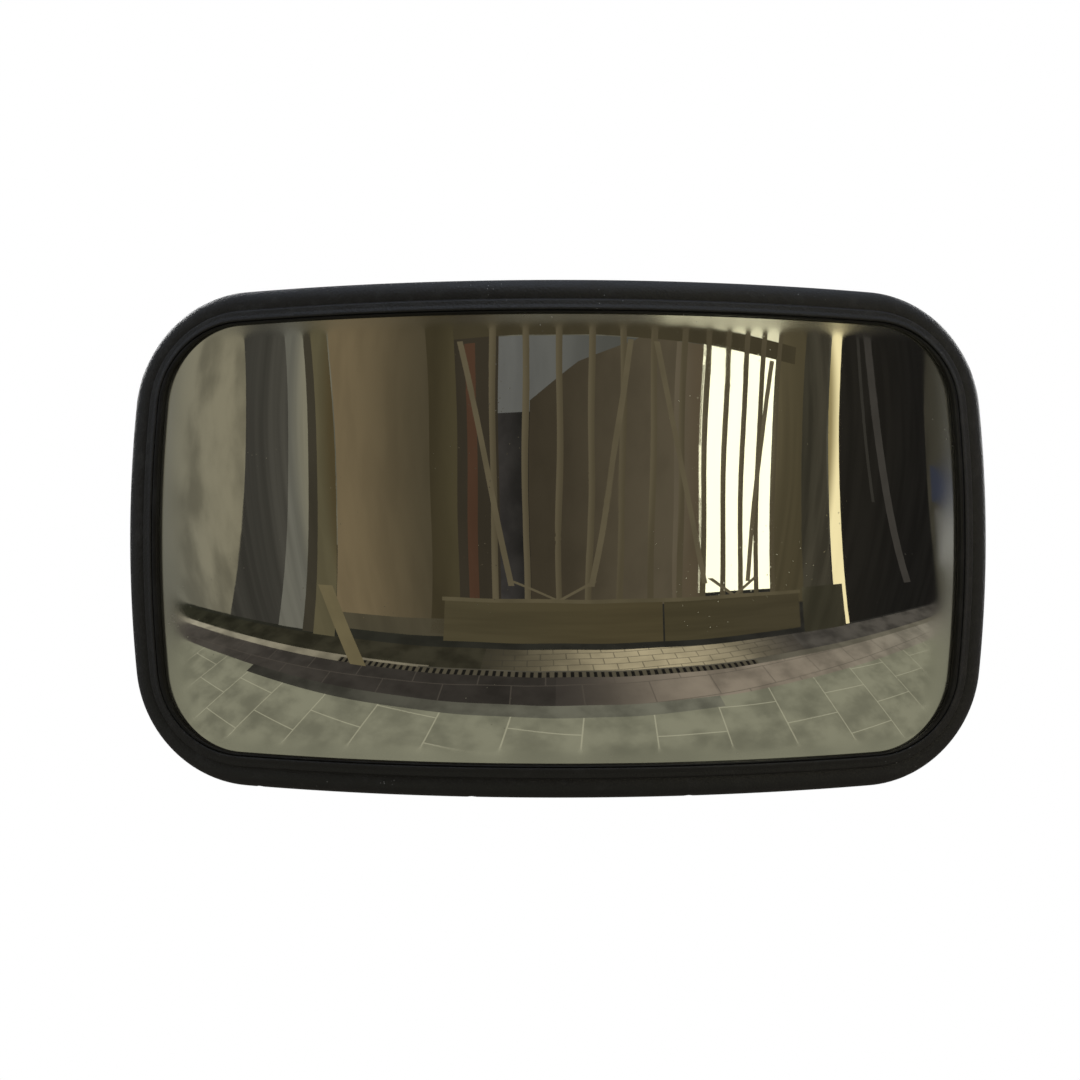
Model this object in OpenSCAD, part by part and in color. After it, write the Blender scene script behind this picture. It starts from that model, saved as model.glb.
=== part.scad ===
// Convex security mirror on an adjustable wall bracket.
// The wall is the plane y = 0, the reflector faces -Y, and +Z is up. The origin is the
// centre of the wall plate's four screw holes, on the wall.
// Round the head, a profile point is [u, n]: u mm outwards along the dome's surface from
// the edge of the bare reflector, and n mm out of the reflector's front face.

/* [Head] */
// Width over the rim
head_w = 500; // [460:5:540]
// Height over the rim
head_h = 294; // [270:2:310]
// Radius of the reflector's sphere
dome_r = 500; // [460:10:700]
// Depth of the head, from the middle of the dome to the flat of the back
head_depth = 98; // [94:1:110]
// Radius of the bare reflector's round corners
corner_r = 47; // [35:1:60]
// Radius of the slightly bowed top and bottom edges
bow_top_r = 4500; // [3000:100:8000]
// Radius of the bowed side edges
bow_side_r = 1030; // [800:10:2000]
// Thickness of the acrylic reflector
mirror_t = 3; // [2:0.5:4]

/* [Rim] */
// Radius of the rim's round outer bead
bead_r = 9.5; // [8.5:0.1:10.5]
// Number of weep notches under the rim
weep_count = 4; // [2:1:4]
// Distance from one weep notch to the next
weep_pitch = 125; // [100:5:130]
// How far the row of weep notches sits off centre
weep_shift = 12.5; // [0:0.5:15]
// Diameter of a weep notch
weep_d = 6; // [3:0.5:7]

/* [Back shell] */
// Wall thickness of the shell
shell_t = 2.5; // [2:0.1:3]
// Width of the flat back
back_w = 396; // [380:2:410]
// Height of the flat back
back_h = 212; // [200:2:216]
// Height of the stiffening ribs
rib_h = 2.5; // [1:0.5:3]

/* [Wall bracket] */
// Width of the wall plate
plate_w = 100; // [96:2:140]
// Height of the wall plate
plate_h = 140; // [136:2:180]
// Distance between the wall screws, sideways
wall_pitch_x = 70; // [64:1:74]
// Distance between the wall screws, up and down
wall_pitch_z = 110; // [100:1:114]
// Diameter of the wall screw holes
wall_hole_d = 7; // [5:0.5:8]
// Distance from the wall to the pan pivot
pan_reach = 34; // [30:1:40]
// Distance from the wall to the tilt pivot
tilt_reach = 160; // [140:5:200]
// Outer diameter of the arm tube
tube_d = 22; // [20:1:24]
// Diameter of the pivot bolts and the swivel stud
bolt_d = 10; // [10:1:10]
// Outer diameter of a clamp knob
knob_d = 40; // [36:1:44]

/* [Hidden] */
$fn = 96;

// Clearances: a running fit on the radius, and a gap between parts that only lie close.
run_gap = 0.05;
fit_gap = 0.02;
close_gap = 0.3;

// Plates, hubs and fasteners of the bracket.
plate_t = 4;
ear_t = 5;
ear_r = 16;
hub_r = 14;
pan_hub_half = 16;
tilt_hub_half = 14;
bush_r = 7;
bush_len = 12;
bush_flange_r = 11;
bush_flange_t = 1;
tube_wall = 2;
washer_t = 2;
washer_r = 10.5;
bolt_head_t = 6.4;
hex_across_flats = 17;
base_r = 32;
base_t = 5;
base_gap = 26;
friction_t = 1.5;
stud_flange_r = 11;
stud_nut_t = 7;
stud_washer_t = 1.6;
stud_past_nut = 1;
head_plate_t = 4;
stiffener_t = 2;
head_pitch_x = 96;
head_pitch_z = 66;
m6_r = 3;
m6_hole_r = 3.3;
m6_flats = 10;
m6_head_t = 4;
m6_nut_t = 5;
m6_washer_t = 1.6;
m6_washer_r = 6;
m6_past_nut = 1.5;
centre_hole_r = 12;
knob_h = 23;
knob_foot_h = 4;
knob_foot_r = 10;
knob_lobes = 6;
insert_r = 6.5;
insert_h = 16;
insert_bore_h = 19;

// Places along Y, from the wall forwards.
pan_y = -pan_reach;
tilt_y = -tilt_reach;
base_y = tilt_y - base_gap - base_t;
plate_y = base_y - friction_t - head_plate_t;
back_y = plate_y;
apex_y = back_y - head_depth;
dome_centre_y = apex_y + dome_r;
stiffener_y = back_y - shell_t - stiffener_t;

// Places across the bracket.
pan_ear_z = pan_hub_half + bush_flange_t + close_gap;
tilt_ear_x = tilt_hub_half + bush_flange_t + close_gap;
pan_bolt_end = 20;
bolt_r = bolt_d / 2;

// The rim's profile round the reflector's edge.
gasket_out = 8.2;
gasket_back = 5.2;
lip_h = 3.5;
rim_in = 1.8;
rim_wall_in = 8.6;
bead_u = 14;
bead_n = -8.1;
flange_top = -13.7;
rim_back = -16;
flange_out = 16.4;
screw_u = 12.2;
screw_r = 1.75;
screw_head_r = 3.3;
screw_head_t = 2.2;
screw_seat_gap = 0.1;
screw_in = 12;
screw_hole_r = 2;

// Half the bare reflector's size, so that the bead's outermost point is at half the head's.
function lip_half(half, guess, steps = 4) = steps == 0 ? guess :
    lip_half(half, (half - bead_r - bead_u * sqrt(1 - pow(guess / dome_r, 2)))
                   / (1 + bead_n / dome_r), steps - 1);
lip_half_w = lip_half(head_w / 2, head_w / 2 - 18);
lip_half_h = lip_half(head_h / 2, head_h / 2 - 21);

// Steps along the side, corner and top arcs of one quarter of an outline.
side_steps = 5;
corner_steps = 8;
top_steps = 9;
quarter = side_steps + corner_steps + top_steps;

// Points of one arc, each [x, z, normal x, normal z], without the arc's last point.
function arc(c, r, a0, a1, steps) = [for (i = [0 : steps - 1]) let (a = a0 + (a1 - a0) * i / steps)
    [c[0] + r * cos(a), c[1] + r * sin(a), cos(a), sin(a)]];

// A quarter of an oblong with bowed edges: three arcs that run into each other smoothly.
function quarter_outline(a, b, rc, rt, rs) = let (
    ct = [0, b - rt], cs = [a - rs, 0], dt = rt - rc, ds = rs - rc,
    gap = norm(cs - ct), along = (cs - ct) / gap,
    k = (dt * dt - ds * ds + gap * gap) / (2 * gap), h = sqrt(dt * dt - k * k),
    cc = ct + k * along + h * [along[1], -along[0]],
    a_side = atan2(cc[1] - cs[1], cc[0] - cs[0]), a_top = atan2(cc[1] - ct[1], cc[0] - ct[0]))
    concat(arc(cs, rs, 0, a_side, side_steps), arc(cc, rc, a_side, a_top, corner_steps),
           arc(ct, rt, a_top, 90, top_steps), [[0, b, 0, 1]]);

// The whole outline, from the quarter and its three mirror images.
function whole(q) = concat(
    [for (i = [0 : quarter - 1]) q[i]],
    [for (i = [quarter : -1 : 1]) [-q[i][0], q[i][1], -q[i][2], q[i][3]]],
    [for (i = [0 : quarter - 1]) -q[i]],
    [for (i = [quarter : -1 : 1]) [q[i][0], -q[i][1], q[i][2], -q[i][3]]]);

lip = whole(quarter_outline(lip_half_w, lip_half_h, corner_r, bow_top_r, bow_side_r));
back_corner_r = 58;
back = whole(quarter_outline(back_w / 2, back_h / 2, back_corner_r, bow_top_r, bow_side_r));
count = len(lip);

// Directions and places on the dome at a point of the outline.
function dome_fall(s) = sqrt(dome_r * dome_r - s[0] * s[0] - s[1] * s[1]);
function front_dir(s) = [s[0], -dome_fall(s), s[1]] / dome_r;
function out_dir(s) = let (
    t = [-s[3], (s[1] * s[2] - s[0] * s[3]) / dome_fall(s), s[2]], b = cross(t, front_dir(s)))
    b / norm(b);
function at(s, u, n) = [s[0], dome_centre_y - dome_fall(s), s[1]] + out_dir(s) * u + front_dir(s) * n;

// Stations for the rim screws: each corner, both long edges and both ends.
corner_stop = side_steps + corner_steps / 2;
edge_stop = side_steps + corner_steps + 5;
screw_stops = concat([0, 2 * quarter], [for (i = [corner_stop, edge_stop])
    for (j = [i, 2 * quarter - i, 2 * quarter + i, 4 * quarter - i]) j]);

// A closed ring of one profile carried round the outline.
module ring(profile) {
    m = len(profile);
    polyhedron(
        points = [for (s = lip) for (p = profile) at(s, p[0], p[1])],
        faces = [for (i = [0 : count - 1]) for (j = [0 : m - 1]) let (i2 = (i + 1) % count, j2 = (j + 1) % m)
            each [[i * m + j, i2 * m + j2, i * m + j2], [i * m + j, i2 * m + j, i2 * m + j2]]]);
}

// A skin over a stack of loops of equal length, closed flat at both ends.
module skin(loops) {
    last = (len(loops) - 1) * count;
    polyhedron(
        points = [for (l = loops) each l],
        faces = concat([[for (i = [count - 1 : -1 : 0]) i]], [[for (i = [0 : count - 1]) last + i]],
            [for (k = [0 : len(loops) - 2]) for (i = [0 : count - 1])
                let (a = k * count + i, b = k * count + (i + 1) % count)
                each [[a, b, a + count], [b, b + count, a + count]]]));
}

// A flat outline stood up in the XZ plane, from y on towards the wall by t.
module upright(y, t) translate([0, y + t, 0]) rotate([90, 0, 0]) linear_extrude(t) children();

// Children's +Z axis turned to point along d, at place p.
module aim(p, d) translate(p) rotate([0, acos(d[2]), atan2(d[1], d[0])]) children();

// A rod along Y, from y on towards the wall by t.
module rod_y(y, t, r, sides = $fn) translate([0, y + t, 0]) rotate([90, 0, 0]) cylinder(t, r, r, $fn = sides);

module round_plate(w, h, r) union() {
    square([w, h - 2 * r], center = true);
    square([w - 2 * r, h], center = true);
    for (x = [-1, 1], y = [-1, 1]) translate([x * (w / 2 - r), y * (h / 2 - r)]) circle(r);
}

// Places one child at each corner of a rectangle in the XZ plane.
module at_corners(px, pz) for (x = [-0.5, 0.5], z = [-0.5, 0.5]) translate([x * px, 0, z * pz]) children();

module washer(r, bore, t) difference() {
    cylinder(t, r, r);
    translate([0, 0, -1]) cylinder(t + 2, bore, bore);
}

function hex_r(flats) = flats / 2 / cos(30);

// A hexagon bolt with its head from 0 up and its shank from 0 down.
module hex_bolt(r, flats, head, shank) {
    cylinder(head, hex_r(flats), hex_r(flats), $fn = 6);
    translate([0, 0, -shank]) cylinder(shank, r, r);
}

module hex_nut(r, flats, t) difference() {
    cylinder(t, hex_r(flats), hex_r(flats), $fn = 6);
    translate([0, 0, -1]) cylinder(t + 2, r, r);
}

// A plain bearing bush, flange from 0 up and barrel from 0 down.
module bush() difference() {
    union() {
        cylinder(bush_flange_t, bush_flange_r, bush_flange_r);
        translate([0, 0, -bush_len]) cylinder(bush_len, bush_r, bush_r);
    }
    translate([0, 0, -bush_len - 1]) cylinder(bush_len + 3, bolt_r + run_gap, bolt_r + run_gap);
}

// A hub with a through bore for two bushes, along Z.
module hub(half) difference() {
    translate([0, 0, -half]) cylinder(2 * half, hub_r, hub_r);
    translate([0, 0, -half - 1]) cylinder(2 * half + 2, bush_r + fit_gap, bush_r + fit_gap);
}

// A lobed clamp knob, foot at 0 and top at knob_h, with a blind hole for its insert and bolt.
module knob() difference() {
    rotate_extrude() polygon(concat(
        [[0, 0], [knob_foot_r, 0], [knob_foot_r, knob_foot_h]],
        [for (a = [-90 : 30 : 0]) [knob_d / 2 - 2 + 2 * cos(a), knob_foot_h + 2 + 2 * sin(a)]],
        [for (a = [0 : 15 : 90]) [knob_d / 2 - 5 + 5 * cos(a), knob_h - 6 + 5 * sin(a)]],
        [[0, knob_h]]));
    for (i = [0 : knob_lobes - 1]) rotate([0, 0, (i + 0.5) * 360 / knob_lobes])
        translate([knob_d / 2 + 4, 0, -1]) cylinder(knob_h + 2, 7, 7);
    translate([0, 0, -1]) cylinder(insert_h + 1, insert_r + fit_gap, insert_r + fit_gap);
    translate([0, 0, -1]) cylinder(insert_bore_h + 1, bolt_r + 0.2, bolt_r + 0.2);
}

module knob_insert() washer(insert_r, bolt_r + run_gap, insert_h);

// One ear of a clevis: a strip from the base at x = 0 to a round end about the pivot, drilled.
module ear(reach) difference() {
    linear_extrude(ear_t) union() {
        translate([0, -ear_r]) square([reach, 2 * ear_r]);
        translate([reach, 0]) circle(ear_r);
    }
    translate([reach, 0, -1]) cylinder(ear_t + 2, bolt_r + run_gap, bolt_r + run_gap);
}

// Pivot frames: children's Z axis lies along the pivot.
module on_pan() translate([0, pan_y, 0]) children();
module on_tilt() translate([0, tilt_y, 0]) rotate([0, 90, 0]) children();

// ---- Wall end ----
module wall_plate() color("#2b2d30") difference() {
    upright(-plate_t, plate_t) round_plate(plate_w, plate_h, 10);
    at_corners(wall_pitch_x, wall_pitch_z) rod_y(-plate_t - 1, plate_t + 2, wall_hole_d / 2);
}

module wall_ears() color("#2b2d30")
    for (z = [pan_ear_z, -pan_ear_z - ear_t])
        translate([0, -plate_t, z]) rotate([0, 0, -90]) ear(pan_reach - plate_t);

module pan_bolt() color("#a9adb2") on_pan()
    translate([0, 0, pan_ear_z + ear_t + washer_t])
        hex_bolt(bolt_r, hex_across_flats, bolt_head_t, 2 * (pan_ear_z + ear_t + washer_t) + pan_bolt_end - 2);

module pan_washers() color("#b9bcc0") on_pan()
    for (z = [pan_ear_z + ear_t, -pan_ear_z - ear_t - washer_t])
        translate([0, 0, z]) washer(washer_r, bolt_r + run_gap, washer_t);

module under_pan() on_pan() translate([0, 0, -pan_ear_z - ear_t - washer_t - 0.1]) mirror([0, 0, 1]) children();
module pan_knob() color("#1a1b1d") under_pan() knob();
module pan_knob_insert() color("#b08d4a") under_pan() knob_insert();

// ---- Arm ----
module pan_hub() color("#2b2d30") on_pan() hub(pan_hub_half);

module pan_bushes() color("#e9e6dc") on_pan()
    for (s = [0, 1]) mirror([0, 0, s]) translate([0, 0, pan_hub_half]) bush();

module arm_tube() color("#2b2d30") difference() {
    rod_y(tilt_y, tilt_reach - pan_reach, tube_d / 2);
    rod_y(tilt_y - 1, tilt_reach - pan_reach + 2, tube_d / 2 - tube_wall);
    on_pan() translate([0, 0, -tube_d]) cylinder(2 * tube_d, hub_r, hub_r);
    on_tilt() translate([0, 0, -tube_d]) cylinder(2 * tube_d, hub_r, hub_r);
}

module tilt_hub() color("#2b2d30") on_tilt() hub(tilt_hub_half);

module tilt_bushes() color("#e9e6dc") on_tilt()
    for (s = [0, 1]) mirror([0, 0, s]) translate([0, 0, tilt_hub_half]) bush();

// ---- Tilt yoke ----
module tilt_yoke() color("#2b2d30") difference() {
    union() {
        rod_y(base_y, base_t, base_r);
        for (x = [tilt_ear_x, -tilt_ear_x - ear_t])
            translate([x, base_y + base_t / 2, 0]) rotate([90, 0, 90]) ear(base_gap + base_t / 2);
    }
    rod_y(base_y - 1, base_t + 2, bolt_r + run_gap);
}

module tilt_bolt() color("#a9adb2") on_tilt() mirror([0, 0, 1])
    translate([0, 0, tilt_ear_x + ear_t + washer_t])
        hex_bolt(bolt_r, hex_across_flats, bolt_head_t, 2 * (tilt_ear_x + ear_t + washer_t) + pan_bolt_end - 2);

module tilt_washers() color("#b9bcc0") on_tilt()
    for (z = [tilt_ear_x + ear_t, -tilt_ear_x - ear_t - washer_t])
        translate([0, 0, z]) washer(washer_r, bolt_r + run_gap, washer_t);

module beside_tilt() on_tilt() translate([0, 0, tilt_ear_x + ear_t + washer_t + 0.1]) children();
module tilt_knob() color("#1a1b1d") beside_tilt() knob();
module tilt_knob_insert() color("#b08d4a") beside_tilt() knob_insert();

// ---- Swivel and head plate ----
module friction_washer() color("#6b4a34") difference() {
    rod_y(base_y - friction_t, friction_t, base_r - 2);
    rod_y(base_y - friction_t - 1, friction_t + 2, bolt_r + fit_gap);
}

stud_end = base_y + base_t + stud_washer_t + stud_nut_t + stud_past_nut;
module swivel_stud() color("#a9adb2") union() {
    rod_y(plate_y - head_plate_t, head_plate_t, stud_flange_r);
    rod_y(plate_y - head_plate_t, stud_end - plate_y + head_plate_t, bolt_r);
}

module swivel_washer() color("#b9bcc0") difference() {
    rod_y(base_y + base_t, stud_washer_t, washer_r);
    rod_y(base_y + base_t - 1, stud_washer_t + 2, bolt_r + fit_gap);
}

module swivel_nut() color("#a9adb2") difference() {
    rod_y(base_y + base_t + stud_washer_t, stud_nut_t, hex_r(hex_across_flats), 6);
    rod_y(base_y + base_t + stud_washer_t - 1, stud_nut_t + 2, bolt_r + fit_gap);
}

module head_plate() color("#2b2d30") difference() {
    upright(plate_y, head_plate_t) round_plate(120, 90, 10);
    at_corners(head_pitch_x, head_pitch_z) rod_y(plate_y - 1, head_plate_t + 2, m6_hole_r);
    rod_y(plate_y - 1, head_plate_t + 2, bolt_r + fit_gap);
}

module head_washers() color("#b9bcc0") at_corners(head_pitch_x, head_pitch_z) difference() {
    rod_y(plate_y + head_plate_t, m6_washer_t, m6_washer_r);
    rod_y(plate_y + head_plate_t - 1, m6_washer_t + 2, m6_r + fit_gap);
}

head_bolt_y = plate_y + head_plate_t + m6_washer_t;
head_nut_y = stiffener_y - m6_nut_t;
module head_bolts() color("#a9adb2") at_corners(head_pitch_x, head_pitch_z) union() {
    rod_y(head_bolt_y, m6_head_t, hex_r(m6_flats), 6);
    rod_y(head_nut_y - m6_past_nut, head_bolt_y - head_nut_y + m6_past_nut, m6_r);
}

module head_nuts() color("#a9adb2") at_corners(head_pitch_x, head_pitch_z) difference() {
    rod_y(head_nut_y, m6_nut_t, hex_r(m6_flats), 6);
    rod_y(head_nut_y - 1, m6_nut_t + 2, m6_r + fit_gap);
}

module stiffener_plate() color("#8d9196") difference() {
    upright(stiffener_y, stiffener_t) round_plate(150, 110, 12);
    at_corners(head_pitch_x, head_pitch_z) rod_y(stiffener_y - 1, stiffener_t + 2, m6_hole_r);
    rod_y(stiffener_y - 1, stiffener_t + 2, centre_hole_r);
}

// ---- Back shell ----
// A wall that leaves the flange straight back and bends over into the flat of the back.
function wall_loop(u, n, inset, depth, bend) = [for (i = [0 : count - 1]) let (
    p = at(lip[i], u, n), b = back[i], s = 1 - cos(bend),
    q = [b[0] - inset * b[2], 0, b[1] - inset * b[3]])
    [p[0] + (q[0] - p[0]) * s, p[1] + (apex_y + depth - p[1]) * sin(bend), p[2] + (q[2] - p[2]) * s]];
function flange_loop(u, n) = [for (s = lip) at(s, u, n)];
wall_bends = [0, 14, 28, 42, 56, 68, 79, 90];
flange_in = 5;
wall_foot_u = 7.2;
wall_foot_drop = 0.8;
wall_foot_fillet = 1;

module shell_bowl() skin(concat(
    [for (i = [len(wall_bends) - 1 : -1 : 0])
        wall_loop(flange_in, flange_top, shell_t, head_depth - shell_t, wall_bends[i])],
    [flange_loop(flange_out, flange_top), flange_loop(flange_out, rim_back),
     flange_loop(wall_foot_u + wall_foot_fillet, rim_back)],
    [for (a = wall_bends) wall_loop(wall_foot_u, rim_back - wall_foot_drop, 0, head_depth, a)]));

module back_rib(x0, x1, z) upright(back_y - 0.5, rib_h + 0.5) translate([0, z]) union() {
    translate([x0, -3]) square([x1 - x0, 6]);
    for (x = [x0, x1]) translate([x, 0]) circle(3);
}

module back_shell() color("#1d1e20") difference() {
    union() {
        shell_bowl();
        for (side = [-1, 1], z = [-48, 0, 48]) back_rib(side > 0 ? 76 : -168, side > 0 ? 168 : -76, z);
    }
    at_corners(head_pitch_x, head_pitch_z) rod_y(back_y - shell_t - 1, shell_t + 2, m6_hole_r);
    rod_y(back_y - shell_t - 1, shell_t + 2, centre_hole_r);
    for (i = screw_stops) aim(at(lip[i], screw_u, rim_back - 1), front_dir(lip[i]))
        cylinder(4.5, screw_hole_r, screw_hole_r);
}

module rim_screws() color("#8f9296") for (i = screw_stops)
    aim(at(lip[i], screw_u, rim_back - screw_seat_gap - screw_head_t), front_dir(lip[i])) union() {
        cylinder(screw_head_t, screw_head_r, screw_head_r);
        cylinder(screw_head_t + screw_in, screw_r, screw_r);
    }

// ---- Reflector and rim ----
// A ring that presses the gasket's back lip forwards, stood on the shell's flange.
module clamp_ring() color("#3a3b3d")
    ring([[5.2, flange_top + 0.2], [gasket_out, flange_top + 0.2], [gasket_out, -gasket_back - 0.15],
          [5.2, -gasket_back - 0.15]]);

module ball(r) translate([0, dome_centre_y, 0]) sphere(r, $fn = 240);
mirror_margin = 4;
module mirror_panel() color("#c9d0cf") intersection() {
    difference() {
        ball(dome_r);
        ball(dome_r - mirror_t);
    }
    upright(apex_y - 5, head_depth)
        polygon([for (s = lip) [s[0] + mirror_margin * s[2], s[1] + mirror_margin * s[3]]]);
}

// A rubber channel round the reflector's edge, with a lip that shows in front.
module face_gasket() color("#121314") ring([
    [0.6, -gasket_back], [gasket_out, -gasket_back], [gasket_out, 1.5], [1.2, 1.5], [1.2, lip_h - 0.4],
    [0.9, lip_h], [0.35, lip_h], [0, lip_h - 0.4], [0, 0.15], [6.4, 0.15], [6.4, -mirror_t - 0.15],
    [0.6, -mirror_t - 0.15]]);

bead_last = -asin((bead_n - rim_back) / bead_r);
bead_steps = 9;
rim_profile = concat(
    [[rim_in, 1.6], [rim_wall_in, 1.6], [rim_wall_in, flange_top + 0.1], [flange_out + 0.2, flange_top + 0.1],
     [flange_out + 0.2, rim_back]],
    [for (i = [0 : bead_steps]) let (a = bead_last + (90 - bead_last) * i / bead_steps)
        [bead_u + bead_r * cos(a), bead_n + bead_r * sin(a)]],
    [[9.6, 1.4], [8.9, 1.9], [8.2, 1.7], [2.3, lip_h], [rim_in, lip_h - 0.4]]);

module front_rim() color("#1c1d1f") difference() {
    ring(rim_profile);
    for (i = [0 : weep_count - 1]) let (
        x = weep_shift + (i - (weep_count - 1) / 2) * weep_pitch,
        near = [for (k = [2 * quarter : 4 * quarter - 1]) if (lip[k][0] <= x && lip[k + 1][0] > x) k][0],
        share = (x - lip[near][0]) / (lip[near + 1][0] - lip[near][0]),
        s = lip[near] * (1 - share) + lip[near + 1] * share)
        aim(at(s, bead_u + bead_r - 3, bead_n + 2.5), out_dir(s)) cylinder(6, weep_d / 2, weep_d / 2);
    for (i = screw_stops) aim(at(lip[i], screw_u, flange_top - 1), front_dir(lip[i]))
        cylinder(screw_in, screw_r + run_gap, screw_r + run_gap);
}

wall_plate();
wall_ears();
pan_bolt();
pan_washers();
pan_knob();
pan_knob_insert();
pan_hub();
pan_bushes();
arm_tube();
tilt_hub();
tilt_bushes();
tilt_yoke();
tilt_bolt();
tilt_washers();
tilt_knob();
tilt_knob_insert();
friction_washer();
swivel_stud();
swivel_washer();
swivel_nut();
head_plate();
head_bolts();
head_washers();
head_nuts();
stiffener_plate();
back_shell();
rim_screws();
clamp_ring();
mirror_panel();
face_gasket();
front_rim();
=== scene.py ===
import bmesh
import bpy
import numpy as np
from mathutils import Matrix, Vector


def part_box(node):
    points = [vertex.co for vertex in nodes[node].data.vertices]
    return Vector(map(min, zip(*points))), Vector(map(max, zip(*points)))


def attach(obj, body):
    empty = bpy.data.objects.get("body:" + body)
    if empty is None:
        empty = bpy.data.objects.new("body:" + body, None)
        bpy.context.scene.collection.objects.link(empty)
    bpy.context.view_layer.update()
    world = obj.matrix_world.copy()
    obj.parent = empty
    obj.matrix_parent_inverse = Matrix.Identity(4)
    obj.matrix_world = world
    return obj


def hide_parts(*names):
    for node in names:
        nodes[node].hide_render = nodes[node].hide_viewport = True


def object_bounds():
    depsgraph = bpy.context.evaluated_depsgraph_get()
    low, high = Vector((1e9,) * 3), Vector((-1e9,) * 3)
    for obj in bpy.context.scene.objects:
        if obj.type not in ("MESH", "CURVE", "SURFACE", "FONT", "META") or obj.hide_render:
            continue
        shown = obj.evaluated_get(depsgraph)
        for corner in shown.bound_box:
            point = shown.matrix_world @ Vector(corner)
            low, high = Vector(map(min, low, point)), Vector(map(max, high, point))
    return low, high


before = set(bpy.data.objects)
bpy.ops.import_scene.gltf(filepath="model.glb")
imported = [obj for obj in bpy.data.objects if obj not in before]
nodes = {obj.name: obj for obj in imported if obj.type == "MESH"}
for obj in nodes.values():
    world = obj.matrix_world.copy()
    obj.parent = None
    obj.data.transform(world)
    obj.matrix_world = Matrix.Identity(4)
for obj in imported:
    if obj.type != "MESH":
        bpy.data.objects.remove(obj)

cad_low, cad_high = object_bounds()
MM = 0.001

# ---- Camera ----
# An 85 mm lens, level and square on to the reflector, nearly a metre and a half in front of the
# middle of its dome and a finger's width to the left of it.
camera = bpy.data.objects.new("camera", bpy.data.cameras.new("camera"))
camera.data.lens = 85
camera.location = (-0.0105, cad_low.y - 1.42, -0.0007)
camera.rotation_euler = (np.radians(90), 0, 0)
bpy.context.scene.collection.objects.link(camera)
bpy.context.scene.camera = camera
bpy.context.scene.view_settings.view_transform = "Standard"


# ---- Wall plate and its two ears ----
# A laser-cut 4 mm steel plate with two drilled ears MIG welded to it, powder coated satin black
# after welding. Four screws hold it to the wall.
class Wire:
    """One socket of a material. Arithmetic between wires and numbers adds Math nodes."""

    def __init__(self, finish, socket):
        self.finish = finish
        self.socket = socket

    def maths(self, operation, first, second=0.0):
        return self.finish.node("Math", {"operation": operation}, {0: first, 1: second})

    def __add__(self, other):
        return self.maths("ADD", self, other)

    def __sub__(self, other):
        return self.maths("SUBTRACT", self, other)

    def __rsub__(self, other):
        return self.maths("SUBTRACT", other, self)

    def __mul__(self, other):
        return self.maths("MULTIPLY", self, other)

    def __abs__(self):
        return self.maths("ABSOLUTE", self)

    def __or__(self, other):
        return self.maths("MAXIMUM", self, other)

    __radd__ = __add__
    __rmul__ = __mul__


class Finish:
    """One material about a Principled shader, with patterns laid out in Object coordinates."""

    def __init__(self, name, **fixed):
        self.material = bpy.data.materials.new(name)
        self.material.use_nodes = True
        self.tree = self.material.node_tree
        self.shader = self.tree.nodes["Principled BSDF"]
        self.join(self.shader, {key.replace("_", " "): value for key, value in fixed.items()})

    def join(self, made, sockets):
        """Sets each named or numbered input of a node to a value, or links a wire to it."""
        for name, value in sockets.items():
            if isinstance(value, Wire):
                self.tree.links.new(value.socket, made.inputs[name])
            else:
                made.inputs[name].default_value = value

    def node(self, kind, settings, sockets, out=0):
        """Adds a shader node of that kind: its settings first, then its sockets, as join() takes
        them. Returns its output of that name or number."""
        made = self.tree.nodes.new("ShaderNode" + kind)
        for name, value in settings.items():
            setattr(made, name, value)
        self.join(made, sockets)
        return Wire(self, made.outputs[out])

    def place(self, stretch=(1, 1, 1)):
        """Object coordinates in metres, times stretch."""
        here = self.node("TexCoord", {}, {}, "Object")
        return self.node("Mapping", {}, {"Vector": here, "Scale": stretch})

    def cloud(self, scale, detail=2.0, stretch=(1, 1, 1)):
        """Noise from 0 to 1 with that many lumps to the metre."""
        return self.node("TexNoise", {}, {"Vector": self.place(stretch), "Scale": scale, "Detail": detail})

    def cells(self, scale, out="Distance"):
        """Distance to the nearest of scattered points, or one random colour for each."""
        return self.node("TexVoronoi", {}, {"Vector": self.place(), "Scale": scale}, out)

    def ease(self, value, low, high, to_low=0.0, to_high=1.0):
        """Value eased from to_low, where it is low, to to_high, where it is high."""
        ends = {"From Min": low, "From Max": high, "To Min": to_low, "To Max": to_high}
        return self.node("MapRange", {"interpolation_type": "SMOOTHSTEP"}, {"Value": value, **ends})

    def mix(self, share, first, second):
        """The first colour where share is 0, and the second where it is 1."""
        return self.node("Mix", {"data_type": "RGBA"}, {0: share, 6: first, 7: second}, 2)

    def coat(self, colour, roughness, height=None, depth=0.0):
        """Joins colour and roughness to the shader, and a relief of that depth in metres."""
        self.join(self.shader, {"Base Color": colour, "Roughness": roughness})
        if height is not None:
            relief = self.node("Bump", {}, {"Height": height, "Distance": depth}, "Normal")
            self.join(self.shader, {"Normal": relief})
        return self.material


def paint(red, green, blue):
    return (red, green, blue, 1.0)


def powder_coat_finish():
    """Satin black powder coat: orange peel a millimetre across, uneven gloss and a little dust."""
    f = Finish("powder_coat", IOR=1.5)
    peel = f.cloud(850, 3)
    patches = f.cloud(14, 4)
    dust = f.ease(f.cloud(70, 9), 0.55, 0.75) * 0.35
    black = f.mix(patches, paint(0.021, 0.022, 0.024), paint(0.034, 0.035, 0.037))
    dusty = f.mix(dust, black, paint(0.12, 0.115, 0.105))
    return f.coat(dusty, 0.36 + 0.14 * patches + 0.3 * dust, peel, 0.00018)


def box_of(name):
    """Lowest and highest corner of a CAD node, in millimetres."""
    low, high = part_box(name)
    return np.array(low) / MM, np.array(high) / MM


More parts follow.
